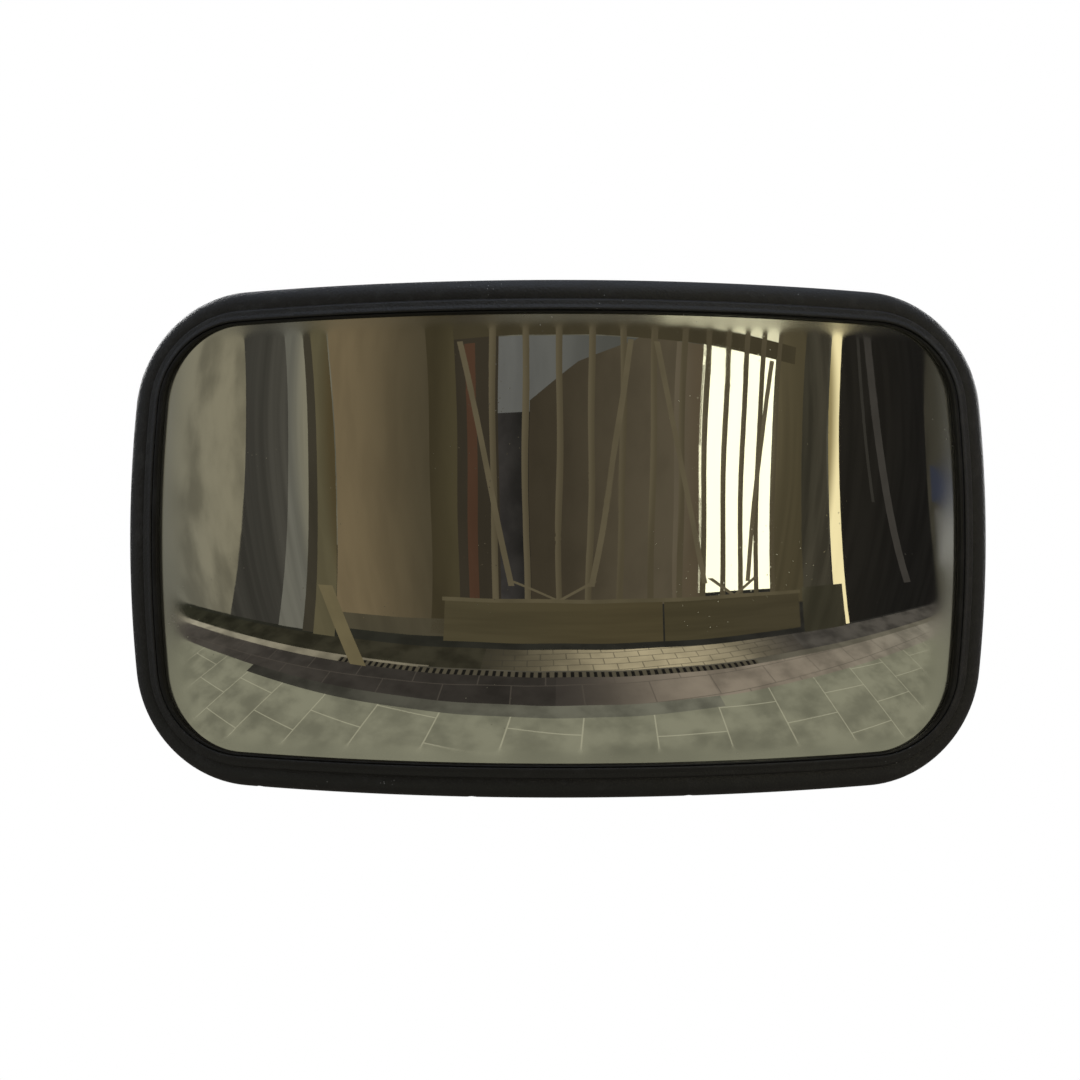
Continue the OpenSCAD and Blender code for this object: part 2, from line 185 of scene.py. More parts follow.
def fit(mesh, body, slot, finish, *replaced):
    """Puts a mesh on its CAD body as a piece, in place of the nodes that it stands for."""
    piece = bpy.data.objects.new(mesh.name, mesh)
    bpy.context.scene.collection.objects.link(piece)
    mesh.materials.append(finish)
    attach(piece, body)
    if replaced:
        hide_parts(*replaced)
    return piece


def eased_plate(name, body, slot, finish, width, segments=3):
    """The CAD node as one joined mesh with whole flat faces, its edges rounded over by width mm."""
    work = bmesh.new()
    work.from_mesh(nodes[name].data)
    bmesh.ops.remove_doubles(work, verts=work.verts, dist=0.002 * MM)
    bmesh.ops.dissolve_limit(work, angle_limit=np.radians(0.5), verts=work.verts, edges=work.edges)
    mesh = bpy.data.meshes.new(name + "_eased")
    work.to_mesh(mesh)
    work.free()
    mesh.shade_smooth()
    piece = fit(mesh, body, slot, finish, name)
    bevel = piece.modifiers.new("edges", "BEVEL")
    bevel.width = width * MM
    bevel.segments = segments
    bevel.angle_limit = np.radians(35)
    flat = piece.modifiers.new("flat", "WEIGHTED_NORMAL")
    flat.weight = 100
    return piece


def grid_mesh(name, *grids, wrap_rows=False, sharp=35):
    """One mesh from grids of points [row, column] in mm. Each cell is a face, the last column joins
    the first, and so does the last row where wrap_rows says so. Points that meet are merged, which
    closes poles, and edges that turn more than `sharp` degrees stay crisp."""
    points = np.concatenate([grid.reshape(-1, 3) for grid in grids]) * MM
    faces = []
    start = 0
    for grid in grids:
        index = start + np.arange(grid.shape[0] * grid.shape[1]).reshape(grid.shape[:2])
        start += index.size
        index = np.hstack([index, index[:, :1]])
        if wrap_rows:
            index = np.vstack([index, index[:1]])
        corners = [index[:-1, :-1], index[:-1, 1:], index[1:, 1:], index[1:, :-1]]
        faces.append(np.stack(corners, -1).reshape(-1, 4))
    mesh = bpy.data.meshes.new(name)
    mesh.from_pydata(points.tolist(), [], np.concatenate(faces).tolist())
    work = bmesh.new()
    work.from_mesh(mesh)
    bmesh.ops.remove_doubles(work, verts=work.verts, dist=0.002 * MM)
    bmesh.ops.recalc_face_normals(work, faces=work.faces)
    work.to_mesh(mesh)
    work.free()
    mesh.shade_smooth()
    mesh.set_sharp_from_angle(angle=np.radians(sharp))
    return mesh


def unit(vectors):
    return vectors / np.linalg.norm(vectors, axis=-1, keepdims=True)


def weld(path, radius, across=(0, 1, 0), sides=14, ripple=1.5):
    """A tube about a closed path [i], swelling and shrinking a tenth every `ripple` mm as laid weld
    does: path + r (cos a · n + sin a · b), where n is the path's direction × across, and b that
    direction × n."""
    along = unit(np.roll(path, -1, 0) - np.roll(path, 1, 0))
    n = unit(np.cross(along, across))
    b = np.cross(along, n)
    length = np.cumsum(np.linalg.norm(path - np.roll(path, 1, 0), axis=1))
    r = radius * (1 + 0.1 * np.sin(2 * np.pi * length / ripple))[:, None, None]
    a = np.linspace(0, 2 * np.pi, sides, endpoint=False)[None, :, None]
    return path[:, None] + r * (np.cos(a) * n[:, None] + np.sin(a) * b[:, None])


def oblong_path(low, high, y, spacing=0.35):
    """The outline of the oblong from low to high [x, z] at depth y, as closely spaced points."""
    corners = np.array([low, [high[0], low[1]], high, [low[0], high[1]], low], float)
    steps = np.cumsum(np.r_[0, np.linalg.norm(np.diff(corners, axis=0), axis=1)])
    s = np.arange(0, steps[-1], spacing)
    x, z = (np.interp(s, steps, corners[:, k]) for k in (0, 1))
    return np.stack([x, np.full_like(x, y), z], 1)


powder_coat = powder_coat_finish()
eased_plate("wall_plate", "wall_bracket", "powder_coat", powder_coat, 0.7)
eased_plate("wall_ears", "wall_bracket", "powder_coat", powder_coat, 0.6)
plate_face = box_of("wall_plate")[0][1]
ears_low, ears_high = box_of("wall_ears")
EAR_THICK = 5.0
ear_welds = [
    weld(oblong_path([ears_low[0], z], [ears_high[0], z + EAR_THICK], plate_face), 1.9)
    for z in (ears_low[2], ears_high[2] - EAR_THICK)
]
fit(grid_mesh("wall_ear_welds", *ear_welds, wrap_rows=True), "wall_bracket", "powder_coat", powder_coat)


# ---- Pan bolt and washers ----
# An M10 hexagon bolt dropped down through both ears and the arm's hub, with a washer under its
# head and another above the clamp knob. All are bright zinc plated steel.
def eased(corners, radius, steps=3):
    """A profile with each inner corner replaced by a curve that leaves both its sides `radius` from
    the corner, or at half of a short side: (1-t)² start + 2t(1-t) corner + t² end."""
    corners = np.array(corners, float)
    back, on = np.roll(corners, 1, 0) - corners, np.roll(corners, -1, 0) - corners
    lengths = [np.linalg.norm(side, axis=1, keepdims=True) for side in (back, on)]
    back_long, on_long = (np.maximum(length, 1e-6) for length in lengths)
    cut = np.minimum(radius, 0.48 * np.minimum(back_long, on_long))
    cut[[0, -1]] = 0
    start, end = corners + back / back_long * cut, corners + on / on_long * cut
    t = np.linspace(0, 1, steps + 1)[None, :, None]
    curve = (1 - t) ** 2 * start[:, None] + 2 * t * (1 - t) * corners[:, None] + t**2 * end[:, None]
    return curve.reshape(-1, 2)


def stand(points, at, x=(1, 0, 0), z=(0, 0, 1)):
    """Points in a piece's own axes, put with their origin at `at` and their axes along x, z × x and z."""
    x, z = unit(np.array(x, float)), unit(np.array(z, float))
    return np.array(at, float) + points @ np.stack([x, np.cross(z, x), z])


def turned(profile, sides=96):
    """A profile [radius, height] turned about the Z axis: (r cos a, r sin a, h)."""
    a = np.linspace(0, 2 * np.pi, sides, endpoint=False)
    r, h = (np.asarray(profile, float)[:, k, None] for k in (0, 1))
    return np.stack([r * np.cos(a), r * np.sin(a), h + 0 * a], -1)


def tube_profile(inner, outer, low, high, chamfer):
    """The closed section of a ring, from its bore round its outside and back."""
    middle = (low + high) / 2
    corners = [[inner, middle], [inner, low], [outer, low], [outer, high], [inner, high], [inner, middle]]
    return eased(corners, chamfer)


def hexagon(flats, a):
    """Distance from the middle of a hexagon, a corner of which lies at angle 0, to its side at angle a."""
    return flats / 2 / np.cos(a % (np.pi / 3) - np.pi / 6)


def hex_rows(flats, height, inner, sides=96):
    """The top and sides of a hexagon head: out from radius inner over a 30 degree chamfer, which
    starts just inside the flats, and down to height 0."""
    a = np.linspace(0, 2 * np.pi, sides, endpoint=False)
    corner = hexagon(flats, a)
    share = np.array([0, 0.5, 0.8, 0.9, 1.0])[:, None]
    r = inner + (corner - inner) * share
    top = height - np.tan(np.radians(30)) * np.maximum(0, r - 0.475 * flats)
    r = np.vstack([r, corner[None], corner[None]])
    h = np.vstack([top, 0.5 * top[-1:], 0 * top[-1:]])
    return np.stack([r * np.cos(a), r * np.sin(a), h], -1)


def hex_bolt(radius, flats, head, shank):
    """A bolt whose head stands on height 0 and whose shank goes down from it to a chamfered end."""
    end = [[radius, 0], [radius, -0.5 * shank], [radius, 1 - shank], [radius - 0.8, -shank], [0, -shank]]
    return np.concatenate([hex_rows(flats, head, 0), turned(end)])


def zinc_finish():
    """Bright zinc plate: blue-grey and straw tints in patches, and fine handling marks."""
    f = Finish("zinc_steel", Metallic=1.0)
    tint = f.mix(f.cloud(45, 3), paint(0.60, 0.63, 0.66), paint(0.66, 0.63, 0.55))
    dull = f.ease(f.cloud(160, 7), 0.45, 0.7)
    marks = f.cloud(900, 3, (1, 0.15, 0.6))
    return f.coat(f.mix(dull * 0.4, tint, paint(0.38, 0.38, 0.37)), 0.2 + 0.25 * dull, marks, 0.00004)


zinc_steel = zinc_finish()


def plated(name, body, *rows):
    """Puts a zinc plated fastener in place of its CAD node, from its rows in the frame's own axes."""
    fit(grid_mesh(name + "_plated", *rows), body, "zinc_steel", zinc_steel, name)


PIVOT_R, PIVOT_FLATS, PIVOT_HEAD = 5.0, 17.0, 6.4
WASHER_R, WASHER_THICK = 10.5, 2.0
BOLT_RUN = 0.05
bolt_bore = PIVOT_R + BOLT_RUN
pan_low, pan_high = box_of("pan_bolt")
pan_centre = (pan_low + pan_high) / 2
pan_seat = [0, pan_centre[1], pan_high[2] - PIVOT_HEAD]
pan_bolt = hex_bolt(PIVOT_R, PIVOT_FLATS, PIVOT_HEAD, pan_seat[2] - pan_low[2])
plated("pan_bolt", "wall_bracket", stand(pan_bolt, pan_seat))
washer = turned(tube_profile(bolt_bore, WASHER_R, 0, WASHER_THICK, 0.35))
pan_washer_low = box_of("pan_washers")[0][2]
pan_washer_lows = (pan_washer_low, pan_seat[2] - WASHER_THICK)
plated("pan_washers", "wall_bracket", *(stand(washer, [0, pan_centre[1], z]) for z in pan_washer_lows))


# ---- Arm: hubs, bushes and tube ----
# A 22 mm steel tube, coped at both ends and welded between two thick-walled hubs that lie square
# to each other. A flanged nylon bush is pressed into each end of each hub.
def nylon_finish():
    """Natural nylon: warm white, slightly mottled, with a soft shine."""
    f = Finish("nylon", Subsurface_Weight=0.08)
    mottle = f.cloud(90, 4)
    white = f.mix(mottle, paint(0.74, 0.70, 0.61), paint(0.82, 0.80, 0.73))
    return f.coat(white, 0.38 + 0.12 * mottle, f.cloud(600), 0.00005)


nylon = nylon_finish()
HUB_R, BUSH_R, BUSH_FLANGE_R, BUSH_FLANGE, BUSH_LONG = 14.0, 7.0, 11.0, 1.0, 12.0
bush_corners = [
    [bolt_bore, 0], [bolt_bore, -BUSH_LONG], [BUSH_R, -BUSH_LONG], [BUSH_R, 0],
    [BUSH_FLANGE_R, 0], [BUSH_FLANGE_R, BUSH_FLANGE], [bolt_bore, BUSH_FLANGE], [bolt_bore, 0],
]
bush = turned(eased(bush_corners, 0.3))
tilt_low, tilt_high = box_of("tilt_hub")
pan_half = box_of("pan_hub")[1][2]
tilt_half = tilt_high[0]
tilt_centre = (tilt_low + tilt_high) / 2
hubs = {
    "pan": {"at": pan_centre * [0, 1, 0], "half": pan_half, "x": (1, 0, 0), "z": (0, 0, 1)},
    "tilt": {"at": tilt_centre * [0, 1, 0], "half": tilt_half, "x": (0, 0, -1), "z": (1, 0, 0)},
}
for name, hub in hubs.items():
    body = turned(tube_profile(BUSH_R, HUB_R, -hub["half"], hub["half"], 0.8))
    mesh = grid_mesh(name + "_hub_coated", stand(body, hub["at"], hub["x"], hub["z"]))
    fit(mesh, "arm", "powder_coat", powder_coat, name + "_hub")
    axis = np.array(hub["z"], float)
    pair = [stand(bush, hub["at"] + side * hub["half"] * axis, hub["x"], side * axis) for side in (1, -1)]
    fit(grid_mesh(name + "_bushes_moulded", *pair), "arm", "nylon", nylon, name + "_bushes")

TUBE_R = box_of("arm_tube")[1][0]
turn = np.linspace(0, 2 * np.pi, 200, endpoint=False)
tube_x, tube_z = TUBE_R * np.cos(turn), TUBE_R * np.sin(turn)
pan_saddle = np.stack([tube_x, pan_centre[1] - np.sqrt(HUB_R**2 - tube_x**2), tube_z], 1)
tilt_saddle = np.stack([tube_x, tilt_centre[1] + np.sqrt(HUB_R**2 - tube_z**2), tube_z], 1)
arm_welds = grid_mesh("arm_welds", weld(pan_saddle, 1.8), weld(tilt_saddle, 1.8), wrap_rows=True)
fit(arm_welds, "arm", "powder_coat", powder_coat)


def dress(finish, *names):
    """Gives CAD nodes whose shape stays as it is their finish."""
    for name in names:
        for holder in nodes[name].material_slots:
            holder.material = finish


dress(powder_coat, "arm_tube")


# ---- Tilt yoke ----
# A round steel base with two drilled ears welded across it, powder coated black. The arm's outer
# hub turns between the ears on the tilt bolt, which comes in from the left.
eased_plate("tilt_yoke", "yoke", "powder_coat", powder_coat, 0.6)
EAR_HALF, BASE_THICK = 16.0, 5.0
yoke_face = box_of("tilt_yoke")[0][1] + BASE_THICK
washer_out = box_of("tilt_washers")[1][0]
ear_in = washer_out - WASHER_THICK - EAR_THICK
yoke_welds = [
    weld(oblong_path([x, -EAR_HALF], [x + EAR_THICK, EAR_HALF], yoke_face), 1.9)
    for x in (ear_in, -ear_in - EAR_THICK)
]
fit(grid_mesh("yoke_welds", *yoke_welds, wrap_rows=True), "yoke", "powder_coat", powder_coat)
bolt_low, bolt_high = box_of("tilt_bolt")
tilt_seat = [bolt_low[0] + PIVOT_HEAD, tilt_centre[1], 0]
tilt_bolt = hex_bolt(PIVOT_R, PIVOT_FLATS, PIVOT_HEAD, bolt_high[0] - tilt_seat[0])
tilt_bolt = stand(tilt_bolt, tilt_seat, (0, 0, 1), (-1, 0, 0))
plated("tilt_bolt", "yoke", tilt_bolt)
tilt_washers = [
    stand(washer, [x, tilt_centre[1], 0], (0, 0, -1), (1, 0, 0))
    for x in (-washer_out, washer_out - WASHER_THICK)
]
plated("tilt_washers", "yoke", *tilt_washers)


# ---- Clamp knobs ----
# Six-lobed phenolic knobs moulded over brass inserts. One screws up under the pan ears and the
# other on to the tilt bolt's end, and each squeezes its ears on to the hub between them.
def knob_finish():
    """Black phenolic: a satin shine that is dulled where hands hold it, and faint swirls."""
    f = Finish("knob_plastic", IOR=1.55)
    worn = f.ease(f.cloud(120, 6), 0.4, 0.7)
    black = f.mix(worn, paint(0.012, 0.012, 0.013), paint(0.026, 0.026, 0.027))
    return f.coat(black, 0.24 + 0.2 * worn, f.cloud(500, 3), 0.00008)


def brass_finish():
    """Turned brass: rings of tool marks across a slightly tarnished surface."""
    f = Finish("brass", Metallic=1.0)
    tarnish = f.cloud(200, 5)
    gold = f.mix(tarnish, paint(0.78, 0.60, 0.29), paint(0.50, 0.36, 0.16))
    return f.coat(gold, 0.22 + 0.2 * tarnish, f.cloud(1200, 2), 0.00003)


KNOB_R, KNOB_H, FOOT_R, FOOT_H = 20.0, 23.0, 10.0, 4.0
INSERT_R, INSERT_H, BORE_R, BORE_H = 6.52, 16.0, 5.2, 19.0
LOBES, SCALLOP_R, SCALLOP_AT = 6, 7.0, 24.0


def knob_rows(sides=240):
    """A turned profile whose radius is cut back by scallops between the lobes: the smaller of the
    profile's radius and the distance to the scallop's circle, blended over the last millimetre."""
    corners = [
        [0, BORE_H], [BORE_R, BORE_H], [BORE_R, INSERT_H], [INSERT_R, INSERT_H], [INSERT_R, 0],
        [FOOT_R, 0], [FOOT_R, FOOT_H], [KNOB_R, FOOT_H], [KNOB_R, KNOB_H], [0, KNOB_H],
    ]
    radii = np.array([0, 0.1, 0.1, 0.1, 0.4, 0.8, 0.8, 2.2, 8.0, 0])[:, None]
    profile = eased(corners, radii, 10)
    wide = np.linspace(0, 1, 8)[1:, None] * (profile[-2] - profile[-1]) + profile[-1]
    profile = np.concatenate([profile[:-1], wide[::-1], profile[-1:]])
    a = np.linspace(0, 2 * np.pi, sides, endpoint=False)
    off = a % (2 * np.pi / LOBES) - np.pi / LOBES
    inside = np.maximum(SCALLOP_R**2 - (SCALLOP_AT * np.sin(off)) ** 2, 0)
    open_side = 3.0 * np.maximum(np.abs(SCALLOP_AT * np.sin(off)) - SCALLOP_R, 0)
    reach = SCALLOP_AT * np.cos(off) - np.sqrt(inside) + open_side
    r = profile[:, 0, None]
    blend = 1.2  # mm
    gap = np.clip(0.5 + 0.5 * (reach - r) / blend, 0, 1)
    r = reach * (1 - gap) + r * gap - blend * gap * (1 - gap) * (r > FOOT_R)
    return np.stack([r * np.cos(a), r * np.sin(a), profile[:, 1, None] + 0 * a], -1)


knob_plastic = knob_finish()
dress(brass_finish(), "pan_knob_insert", "tilt_knob_insert")
pan_knob_top = box_of("pan_knob")[1][2]
tilt_knob_in = box_of("tilt_knob")[0][0]
pan_knob = stand(knob_rows(), [0, pan_centre[1], pan_knob_top], (1, 0, 0), (0, 0, -1))
tilt_knob = stand(knob_rows(), [tilt_knob_in, tilt_centre[1], 0], (0, 0, -1), (1, 0, 0))
fit(grid_mesh("pan_knob_moulded", pan_knob), "pan_clamp", "knob_plastic", knob_plastic, "pan_knob")
fit(grid_mesh("tilt_knob_moulded", tilt_knob), "tilt_clamp", "knob_plastic", knob_plastic, "tilt_knob")


# ---- Swivel ----
# A flanged M10 stud comes back from the head through a vulcanised fibre washer and the yoke's
# base. A washer and nut draw it up so that the head turns stiffly on its own axis.
def fibre_finish():
    """Red-brown vulcanised fibre: short lighter fibres in a dull sheet."""
    f = Finish("fibre")
    strands = f.cloud(700, 5, (1, 1, 0.2))
    brown = f.mix(strands, paint(0.13, 0.06, 0.035), paint(0.27, 0.15, 0.09))
    return f.coat(brown, 0.62 + 0.1 * strands, strands, 0.0001)


STUD_NUT, STUD_FLANGE_R, STUD_WASHER = 7.0, 11.0, 1.6
PITCH, THREAD_DEEP, THREAD_RUN = 1.5, 0.9, 0.02
thread_bore = PIVOT_R + THREAD_RUN
stud_low, stud_high = box_of("swivel_stud")
fibre_low, fibre_high = box_of("friction_washer")
stud_face = fibre_low[1]
stud_x, stud_z = (1, 0, 0), (0, 1, 0)
stud_at = [0, stud_face, 0]
flange_deep = stud_face - stud_low[1]
stud_long = stud_high[1] - stud_face
thread_from = fibre_high[1] - stud_face


def thread_rows(radius, low, high, sides=96):
    """A screw thread with straight flanks: the radius falls by the depth and rises again once a
    pitch, a turn further round for each pitch up, and the last half pitch is chamfered off."""
    h = np.linspace(low, high, int((high - low) / PITCH * 14))[:, None]
    a = np.linspace(0, 2 * np.pi, sides, endpoint=False)
    wave = np.abs((h / PITCH - a / (2 * np.pi)) % 1 * 2 - 1)
    r = radius - THREAD_DEEP * np.clip(1.25 * wave - 0.125, 0, 1)
    r = np.minimum(r, radius - 0.9 * np.clip(h - high + 0.8, 0, 1))
    return np.stack([r * np.cos(a), r * np.sin(a), h + 0 * a], -1)


flange = [[0, -flange_deep], [STUD_FLANGE_R, -flange_deep], [STUD_FLANGE_R, 0], [PIVOT_R, 0]]
flange = turned(eased(flange, 0.3))
thread = thread_rows(PIVOT_R, thread_from, stud_long)
stud = np.concatenate([flange, turned([[PIVOT_R, thread_from - 0.2]]), thread, turned([[0, stud_long]])])
plated("swivel_stud", "head", stand(stud, stud_at, stud_x, stud_z))
washer_face = box_of("swivel_washer")[0][1]
thin_washer = turned(tube_profile(thread_bore, WASHER_R, 0, STUD_WASHER, 0.3))
plated("swivel_washer", "head", stand(thin_washer, [0, washer_face, 0], stud_x, stud_z))


def hex_nut(flats, height, bore):
    """A nut on height 0, chamfered round its top and round both ends of its bore."""
    top = hex_rows(flats, height, bore + 0.6)
    hole = turned([[bore + 0.6, 0], [bore, 0.6], [bore, height - 0.6]])
    return np.concatenate([top, hole, top[:1]])


nut = hex_nut(PIVOT_FLATS, STUD_NUT, thread_bore)
plated("swivel_nut", "head", stand(nut, [0, washer_face + STUD_WASHER, 0], stud_x, stud_z))
fibre_thick = fibre_high[1] - fibre_low[1]
fibre_disc = turned(tube_profile(thread_bore, fibre_high[0], 0, fibre_thick, 0.15))
fibre_disc = grid_mesh("friction_washer_cut", stand(fibre_disc, stud_at, stud_x, stud_z))
fit(fibre_disc, "head", "fibre", fibre_finish(), "friction_washer")


# ---- Head plate and its bolts ----
# A powder coated steel plate outside the back shell and a galvanised one inside share the load.
# Four M6 bolts clamp the shell between them, with washers under their heads.
def galvanised_finish():
    """Hot-dip galvanised sheet: flakes of lighter and darker grey spangle."""
    f = Finish("bare_steel", Metallic=1.0)
    flakes = f.node("SeparateColor", {}, {"Color": f.cells(220, "Color")})
    grey = f.mix(flakes, paint(0.42, 0.43, 0.44), paint(0.60, 0.61, 0.62))
    return f.coat(grey, 0.34 + 0.16 * flakes, f.cloud(300, 4), 0.00005)


dress(galvanised_finish(), "stiffener_plate")
dress(zinc_steel, "head_nuts")
eased_plate("head_plate", "head", "powder_coat", powder_coat, 0.6)
M6_R, M6_FLATS, M6_HEAD, M6_WASHER_R, M6_WASHER = 3.0, 10.0, 4.0, 6.0, 1.6
m6_low, m6_high = box_of("head_bolts")
m6_x = m6_high[0] - M6_FLATS / 2 / np.cos(np.pi / 6)
m6_z = m6_high[2] - M6_FLATS / 2
m6_places = [(x, z) for x in (-m6_x, m6_x) for z in (-m6_z, m6_z)]
m6_seat = m6_high[1] - M6_HEAD
m6_bolt = hex_bolt(M6_R, M6_FLATS, M6_HEAD, m6_seat - m6_low[1])
m6_washer = turned(tube_profile(M6_R + THREAD_RUN, M6_WASHER_R, -M6_WASHER, 0, 0.25), 64)
for name, rows in (("head_bolts", m6_bolt), ("head_washers", m6_washer)):
    plated(name, "head", *(stand(rows, [x, m6_seat, z], stud_x, stud_z) for x, z in m6_places))


# ---- Back shell ----
# One dished moulding in black plastic, with a flange that follows the dome all round and three
# short ribs on each side of its flat back. It backs the reflector and carries the bracket.
DOME_R = 500.0
CORNER_R, BOW_TOP_R, BOW_SIDE_R = 47.0, 4500.0, 1030.0
BACK_HALF_W, BACK_HALF_H, BACK_CORNER_R = 198.0, 106.0, 58.0
BEAD_R, BEAD_U, BEAD_N = 9.5, 14.0, -8.1
SHELL_THICK, RIM_BACK = 2.5, -16.0
FLANGE_IN, FLANGE_OUT, FLANGE_FACE = 5.0, 16.4, -13.7
WALL_U, WALL_N = 7.2, -16.8
rim_high = box_of("front_rim")[1]
apex = box_of("mirror_panel")[0][1]
back_face = box_of("stiffener_plate")[1][1] + SHELL_THICK
dome_centre = apex + DOME_R


def reflector_half(half):
    """Half the bare reflector's size. The bead's outermost point, which is BEAD_U out along the
    dome and BEAD_N + BEAD_R across it, comes to `half`, and a few steps settle the slope there."""
    guess = half - 20
    for _ in range(5):
        guess = (half - BEAD_R - BEAD_U * np.sqrt(1 - (guess / DOME_R) ** 2)) / (1 + BEAD_N / DOME_R)
    return guess


def outline(t, half_w, half_h, corner_r):
    """Points and outward normals [x, z, nx, nz] of a bowed oblong at t from 0 to 12. Each quarter is
    three arcs that run into each other smoothly, one for each unit of t: side, corner and top."""
    quarter, u = np.divmod(t, 3)
    u = np.where(quarter % 2 == 1, 3 - u, u)
    top, side = np.array([0, half_h - BOW_TOP_R]), np.array([half_w - BOW_SIDE_R, 0])
    to_top, to_side = BOW_TOP_R - corner_r, BOW_SIDE_R - corner_r
    gap = np.linalg.norm(side - top)
    along = (side - top) / gap
    k = (to_top**2 - to_side**2 + gap**2) / (2 * gap)
    corner = top + k * along + np.sqrt(to_top**2 - k**2) * np.array([along[1], -along[0]])
    side_end = np.arctan2(*(corner - side)[::-1])
    top_end = np.arctan2(*(corner - top)[::-1])
    arcs = [
        (side, BOW_SIDE_R, 0, side_end),
        (corner, corner_r, side_end, top_end),
        (top, BOW_TOP_R, top_end, np.pi / 2),
    ]
    which = np.clip(u, 0, 2.999999).astype(int)
    centre = np.array([arc[0] for arc in arcs])[which]
    radius, first, last = (np.array([arc[i] for arc in arcs])[which] for i in (1, 2, 3))
    a = first + (last - first) * (u - which)
    normal = np.stack([np.cos(a), np.sin(a)], -1)
    flip = np.stack([np.where((quarter == 1) | (quarter == 2), -1, 1), np.where(quarter >= 2, -1, 1)], -1)
    return np.concatenate([(centre + radius[:, None] * normal) * flip, normal * flip], 1)


half_w, half_h = reflector_half(rim_high[0]), reflector_half(rim_high[2])
fine_t = np.linspace(0, 12, 24001)
fine = outline(fine_t, half_w, half_h, CORNER_R)
fine_s = np.r_[0, np.cumsum(np.linalg.norm(np.diff(fine[:, :2], axis=0), axis=1))]


def stations(spacing, extra=()):
    """Values of t spaced evenly along the reflector's edge, with extra places, in mm along it."""
    s = np.linspace(0, fine_s[-1], int(fine_s[-1] / spacing), endpoint=False)
    return np.interp(np.unique(np.concatenate([s, *extra])), fine_s, fine_t)


def on_dome(t, u, n):
    """Points [station, profile point] u mm outwards along the dome's surface from the reflector's
    edge and n mm out of its face: P + u·B + n·N, where N is the dome's normal at the edge, and B
    lies along the dome, square to the edge."""
    x, z, nx, nz = outline(t, half_w, half_h, CORNER_R).T
    fall = np.sqrt(DOME_R**2 - x**2 - z**2)
    p = np.stack([x, dome_centre - fall, z], 1)
    n_dir = np.stack([x, -fall, z], 1) / DOME_R
    tangent = np.stack([-nz, (z * nx - x * nz) / fall, nx], 1)
    b_dir = unit(np.cross(tangent, n_dir))
    outwards, off_face = np.asarray(u)[:, None], np.asarray(n)[:, None]
    return p[:, None] + outwards * b_dir[:, None] + off_face * n_dir[:, None]


def wall(t, u, n, inset, depth, bends):
    """Rows of a wall that leaves the flange straight back and bends over into the flat of the back:
    it goes in by 1 - cos b of the way to the back's outline, and back by sin b of the depth."""
    start = on_dome(t, np.array([u]), np.array([n]))[:, 0]
    back = outline(t, BACK_HALF_W, BACK_HALF_H, BACK_CORNER_R)
    end_x, end_z = back[:, 0] - inset * back[:, 2], back[:, 1] - inset * back[:, 3]
    end = np.stack([end_x, np.full(len(t), apex + depth), end_z], 1)
    inwards, backwards = (1 - np.cos(bends))[:, None, None], np.sin(bends)[:, None, None]
    share = np.concatenate([inwards, backwards, inwards], 2)
    return start + (end - start) * share


def shell_rows():
    """The shell's inside, flange and outside as one stack of rows, closed at both flat middles."""
    t = stations(4)
    bends = np.radians(np.linspace(0, 90, 25))
    depth = back_face - apex
    corners = [[FLANGE_IN, FLANGE_FACE], [FLANGE_OUT, FLANGE_FACE], [FLANGE_OUT, RIM_BACK], [8.2, RIM_BACK]]
    flange = eased(corners, 0.5)
    edge = on_dome(t, flange[:, 0], flange[:, 1]).transpose(1, 0, 2)
    inner = wall(t, FLANGE_IN, FLANGE_FACE, SHELL_THICK, depth - SHELL_THICK, bends[::-1])
    outer = wall(t, WALL_U, WALL_N, 0, depth, bends)
    inside, outside = (
        np.broadcast_to([0, y, 0], edge[:1].shape) for y in (apex + depth - SHELL_THICK, apex + depth)
    )
    return np.concatenate([inside, inner, edge, outer, outside])


def rib_rows(x0, x1, z, sides=48):
    """A bar with round ends: rows that climb its drafted side, turn over its top edge and close along
    its middle line."""
    a = np.linspace(0, 2 * np.pi, sides, endpoint=False)
    rows = eased([[0, -0.6], [3.0, -0.6], [2.8, 2.5], [0, 2.5]], 0.8)
    r, lift = rows[:, :1], rows[:, 1:]
    x = np.where(np.cos(a) >= 0, x1, x0) + r * np.cos(a)
    return np.stack([x, back_face + lift + 0 * a, z + r * np.sin(a)], -1)


def shell_finish():
    """Black moulded plastic with a fine spark-eroded texture, greyed a little by dust above."""
    f = Finish("shell_plastic", IOR=1.48)
    grain = f.cloud(1100, 3)
    patches = f.cloud(9, 5)
    facing = f.node("SeparateXYZ", {}, {"Vector": f.node("NewGeometry", {}, {}, "Normal")}, "Z")
    dust = f.ease(facing, 0.2, 1.0) * f.ease(f.cloud(50, 8), 0.35, 0.7) * 0.3
    black = f.mix(patches, paint(0.017, 0.017, 0.018), paint(0.026, 0.026, 0.026))
    dusty = f.mix(dust, black, paint(0.13, 0.12, 0.105))
    return f.coat(dusty, 0.5 + 0.15 * patches + 0.2 * dust, grain, 0.00022)


ribs = [rib_rows(*sorted((side * 76, side * 168)), z) for side in (-1, 1) for z in (-48, 0, 48)]
shell = grid_mesh("back_shell_moulded", shell_rows(), *ribs)
fit(shell, "head", "shell_plastic", shell_finish(), "back_shell")


# ---- Rim screws and clamp ring ----
# Ten stainless pan-head screws go through the flange from behind into the rim. Out of sight in
# between, a plastic ring presses the gasket forwards.
def screw_finish():
    """Dull stainless steel with a trace of dirt in the recess."""
    f = Finish("screw_steel", Metallic=1.0)
    dirt = f.ease(f.cloud(500, 4), 0.5, 0.75)
    steel = f.mix(dirt, paint(0.44, 0.44, 0.43), paint(0.16, 0.15, 0.13))
    return f.coat(steel, 0.3 + 0.3 * dirt, f.cloud(1500), 0.00002)


